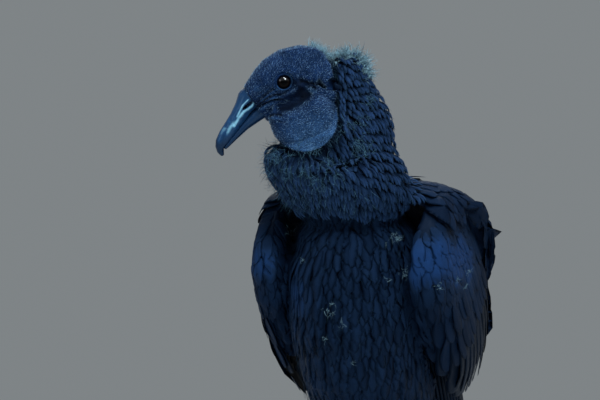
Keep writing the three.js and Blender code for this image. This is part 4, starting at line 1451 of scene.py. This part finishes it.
def buildWisps(look, seed):
    dice = np.random.default_rng(seed)
    turn = math.radians(stageLook["viewTurn"])
    right = np.array((math.cos(turn), math.sin(turn), 0))
    toward = np.array((math.sin(turn), -math.cos(turn), 0))
    middle = place(0, -45, 0)
    roots, ups, sizes = [], [], []
    for across, height, reach, strands in look["places"]:
        for _ in range(strands):
            spread = dice.normal(0, reach / 2, 2)
            start = middle + right * (across + spread[0]) / 1000 + toward * 0.3
            start[2] = (height + spread[1]) / 1000
            hit, _, face, _ = form["tree"].ray_cast(Vector(start), -Vector(toward))
            if hit is not None:
                roots.append(np.array(hit) + form["normals"][face] * 0.0022)
                ups.append(form["normals"][face])
                sizes.append(dice.uniform(0.5, 1.2))
    roots, ups, sizes = np.array(roots), np.array(ups), np.array(sizes)
    heading = unit(ups * 0.6 + tangential(dice.normal(0, 0.8, roots.shape), ups))
    return strandBatch(roots, heading, ups, look, sizes, dice)


addCoat("headStubble", [buildStubble(stubbleLook)], stubbleFibre)
addCoat("napeDown", [buildNape(napeLook), buildWisps(strayDownAndHighlightLook, 506)], paleDown)
neckDown = [
    buildFringe(ruffPaths, ruffUps, fringeLook, 503), buildDown(throatMask(), throatLook, 504),
    buildDown(seamMask(), seamLook, 507), buildWisps(wispLook, 505),
]
bodyDown = [buildFringe(paths, ups, bodyFringeLook, 510 + number)
            for number, (_, paths, ups) in enumerate(bodyTracts + thighTracts)]
addCoat("neckDown", neckDown, darkDown)
addCoat("bodyDown", bodyDown, darkDown)


# ---- bill, eyes and claws

billFolds = [   # depth, width and a line, as on the face
    (1.6, 0.75, (29.6, 6.6), (33.8, 7.2), (38.0, 7.6)),
    (-0.4, 0.8, (29.0, 9.3), (34.0, 9.7), (39.5, 9.2), (41.5, 7.8)),
    (-0.35, 1.0, (29.0, 4.6), (33.5, 4.9), (39.0, 5.6), (45.0, 5.0)),
    (0.45, 0.8, (50.0, 12.0), (52.6, 7.6), (52.0, 3.4), (50.0, -1.0)),
    (-0.3, 1.6, (54.6, 10.0), (56.2, 6.0), (55.4, 2.0)),
]
billPaintedHighlights = [    # painted highlights: lighter streaks along the side of the horn
    (0.7, 0.9, (28.5, 5.8), (31.5, 4.4), (35.5, 5.0), (40.0, 6.0), (46.0, 5.2), (53.0, 3.2)),
    (0.5, 0.6, (30.0, 10.2), (36.0, 10.2), (41.0, 8.6), (46.0, 7.0)),
    (0.35, 1.3, (52.0, 5.0), (57.0, 4.6), (62.0, 2.4)),
    (0.25, 1.6, (60.0, 7.4), (66.0, 6.0), (70.5, 3.0)),
]


def carveBill(points, normals):
    local = toHead(points)
    flat = local[:, :2]
    sideShare = ease(np.abs(local[:, 2]), 1.0, 3.2)
    push = np.zeros(len(points))
    for depth, mark in marksOf(billFolds, flat):
        push -= depth * mark
    tone = np.interp(flat[:, 0], (24, 29, 34, 52, 60, 72), (0.14, 0.3, 0.46, 0.5, 0.42, 0.16))
    tone = tone * (0.55 + 0.45 * ease(flat[:, 1], -4, 4))
    # painted highlights along the side of the horn raise its tone
    for share, mark in marksOf(billPaintedHighlights, flat):
        tone = tone + share * sideShare * mark
    # painted shade: the nostril slit is darkened
    nostril = np.exp(-(distanceTo(billFolds[0][2:], flat) / 0.85) ** 4) * sideShare
    push = push * sideShare - 0.7 * (1 - ease(flat[:, 0], 26.5, 30))     # the root tucks in under the skin
    return points + normals * push[:, None] / 1000, np.clip(tone, 0, 1) * (1 - nostril)


def carveLowerBill(points, normals):
    closing = 0.55 * ease(normals @ headUp, 0.2, 0.8)     # the halves of the bill touch
    tone = np.interp(toHead(points)[:, 0], (10, 30, 60), (0.16, 0.24, 0.2))
    return points + headUp * closing[:, None] / 1000, tone


def keepShape(points, normals):
    return points, np.ones(len(points))


def refined(name, node, voxel, rounds, material, carve=keepShape):
    mesh = remeshed([node], voxel)
    points = smoothed(pointsOf(mesh), edgesOf(mesh), rounds)
    setPoints(mesh, points)
    points, tone = carve(points, surfaceOf(mesh)["vertexNormals"])
    setPoints(mesh, points)
    finishPiece(name, mesh, {"tone": tone}, material, (node,))


def buildEye(side, sign, look):
    low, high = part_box(f"eye_{side}")
    radius = (high.z - low.z) / 2 * 0.995
    ball = bmesh.new()
    bmesh.ops.create_uvsphere(ball, u_segments=64, v_segments=look["rings"], radius=radius)
    turn = (Vector(headLeft) * sign).to_track_quat("Z", "Y")
    offs, heights = [], []
    for vert in ball.verts:
        offs.append(math.hypot(vert.co.x, vert.co.y) * 1000 if vert.co.z > 0 else 9.0)
        vert.co = turn @ vert.co + Vector(eyeCentres[side])
        heights.append((vert.co.z - eyeCentres[side][2]) * 1000)
    mesh = bpy.data.meshes.new(f"eye.{side}")
    ball.to_mesh(mesh)
    ball.free()
    wetness = look["wet"] + (1 - look["wet"]) * ease(np.array(heights), 0.4, 1.8)
    finishPiece(f"eye.{side}", mesh, {"off": offs, "wet": wetness}, eyeWet, (f"eye_{side}",))


refined("billUpper", "bill_upper", 0.0007, 3, billHorn, carveBill)
refined("billLower", "bill_lower", 0.0008, 3, billHorn, carveLowerBill)
for side in sides:
    for toe in ("hind", "inner", "middle", "outer"):
        refined(f"claw.{toe}.{side}", f"claw_{toe}_{side}", 0.0006, 2, clawHorn)
for side, sign in sides.items():
    buildEye(side, sign, eyeLook)
print("bill, claws and eyes")
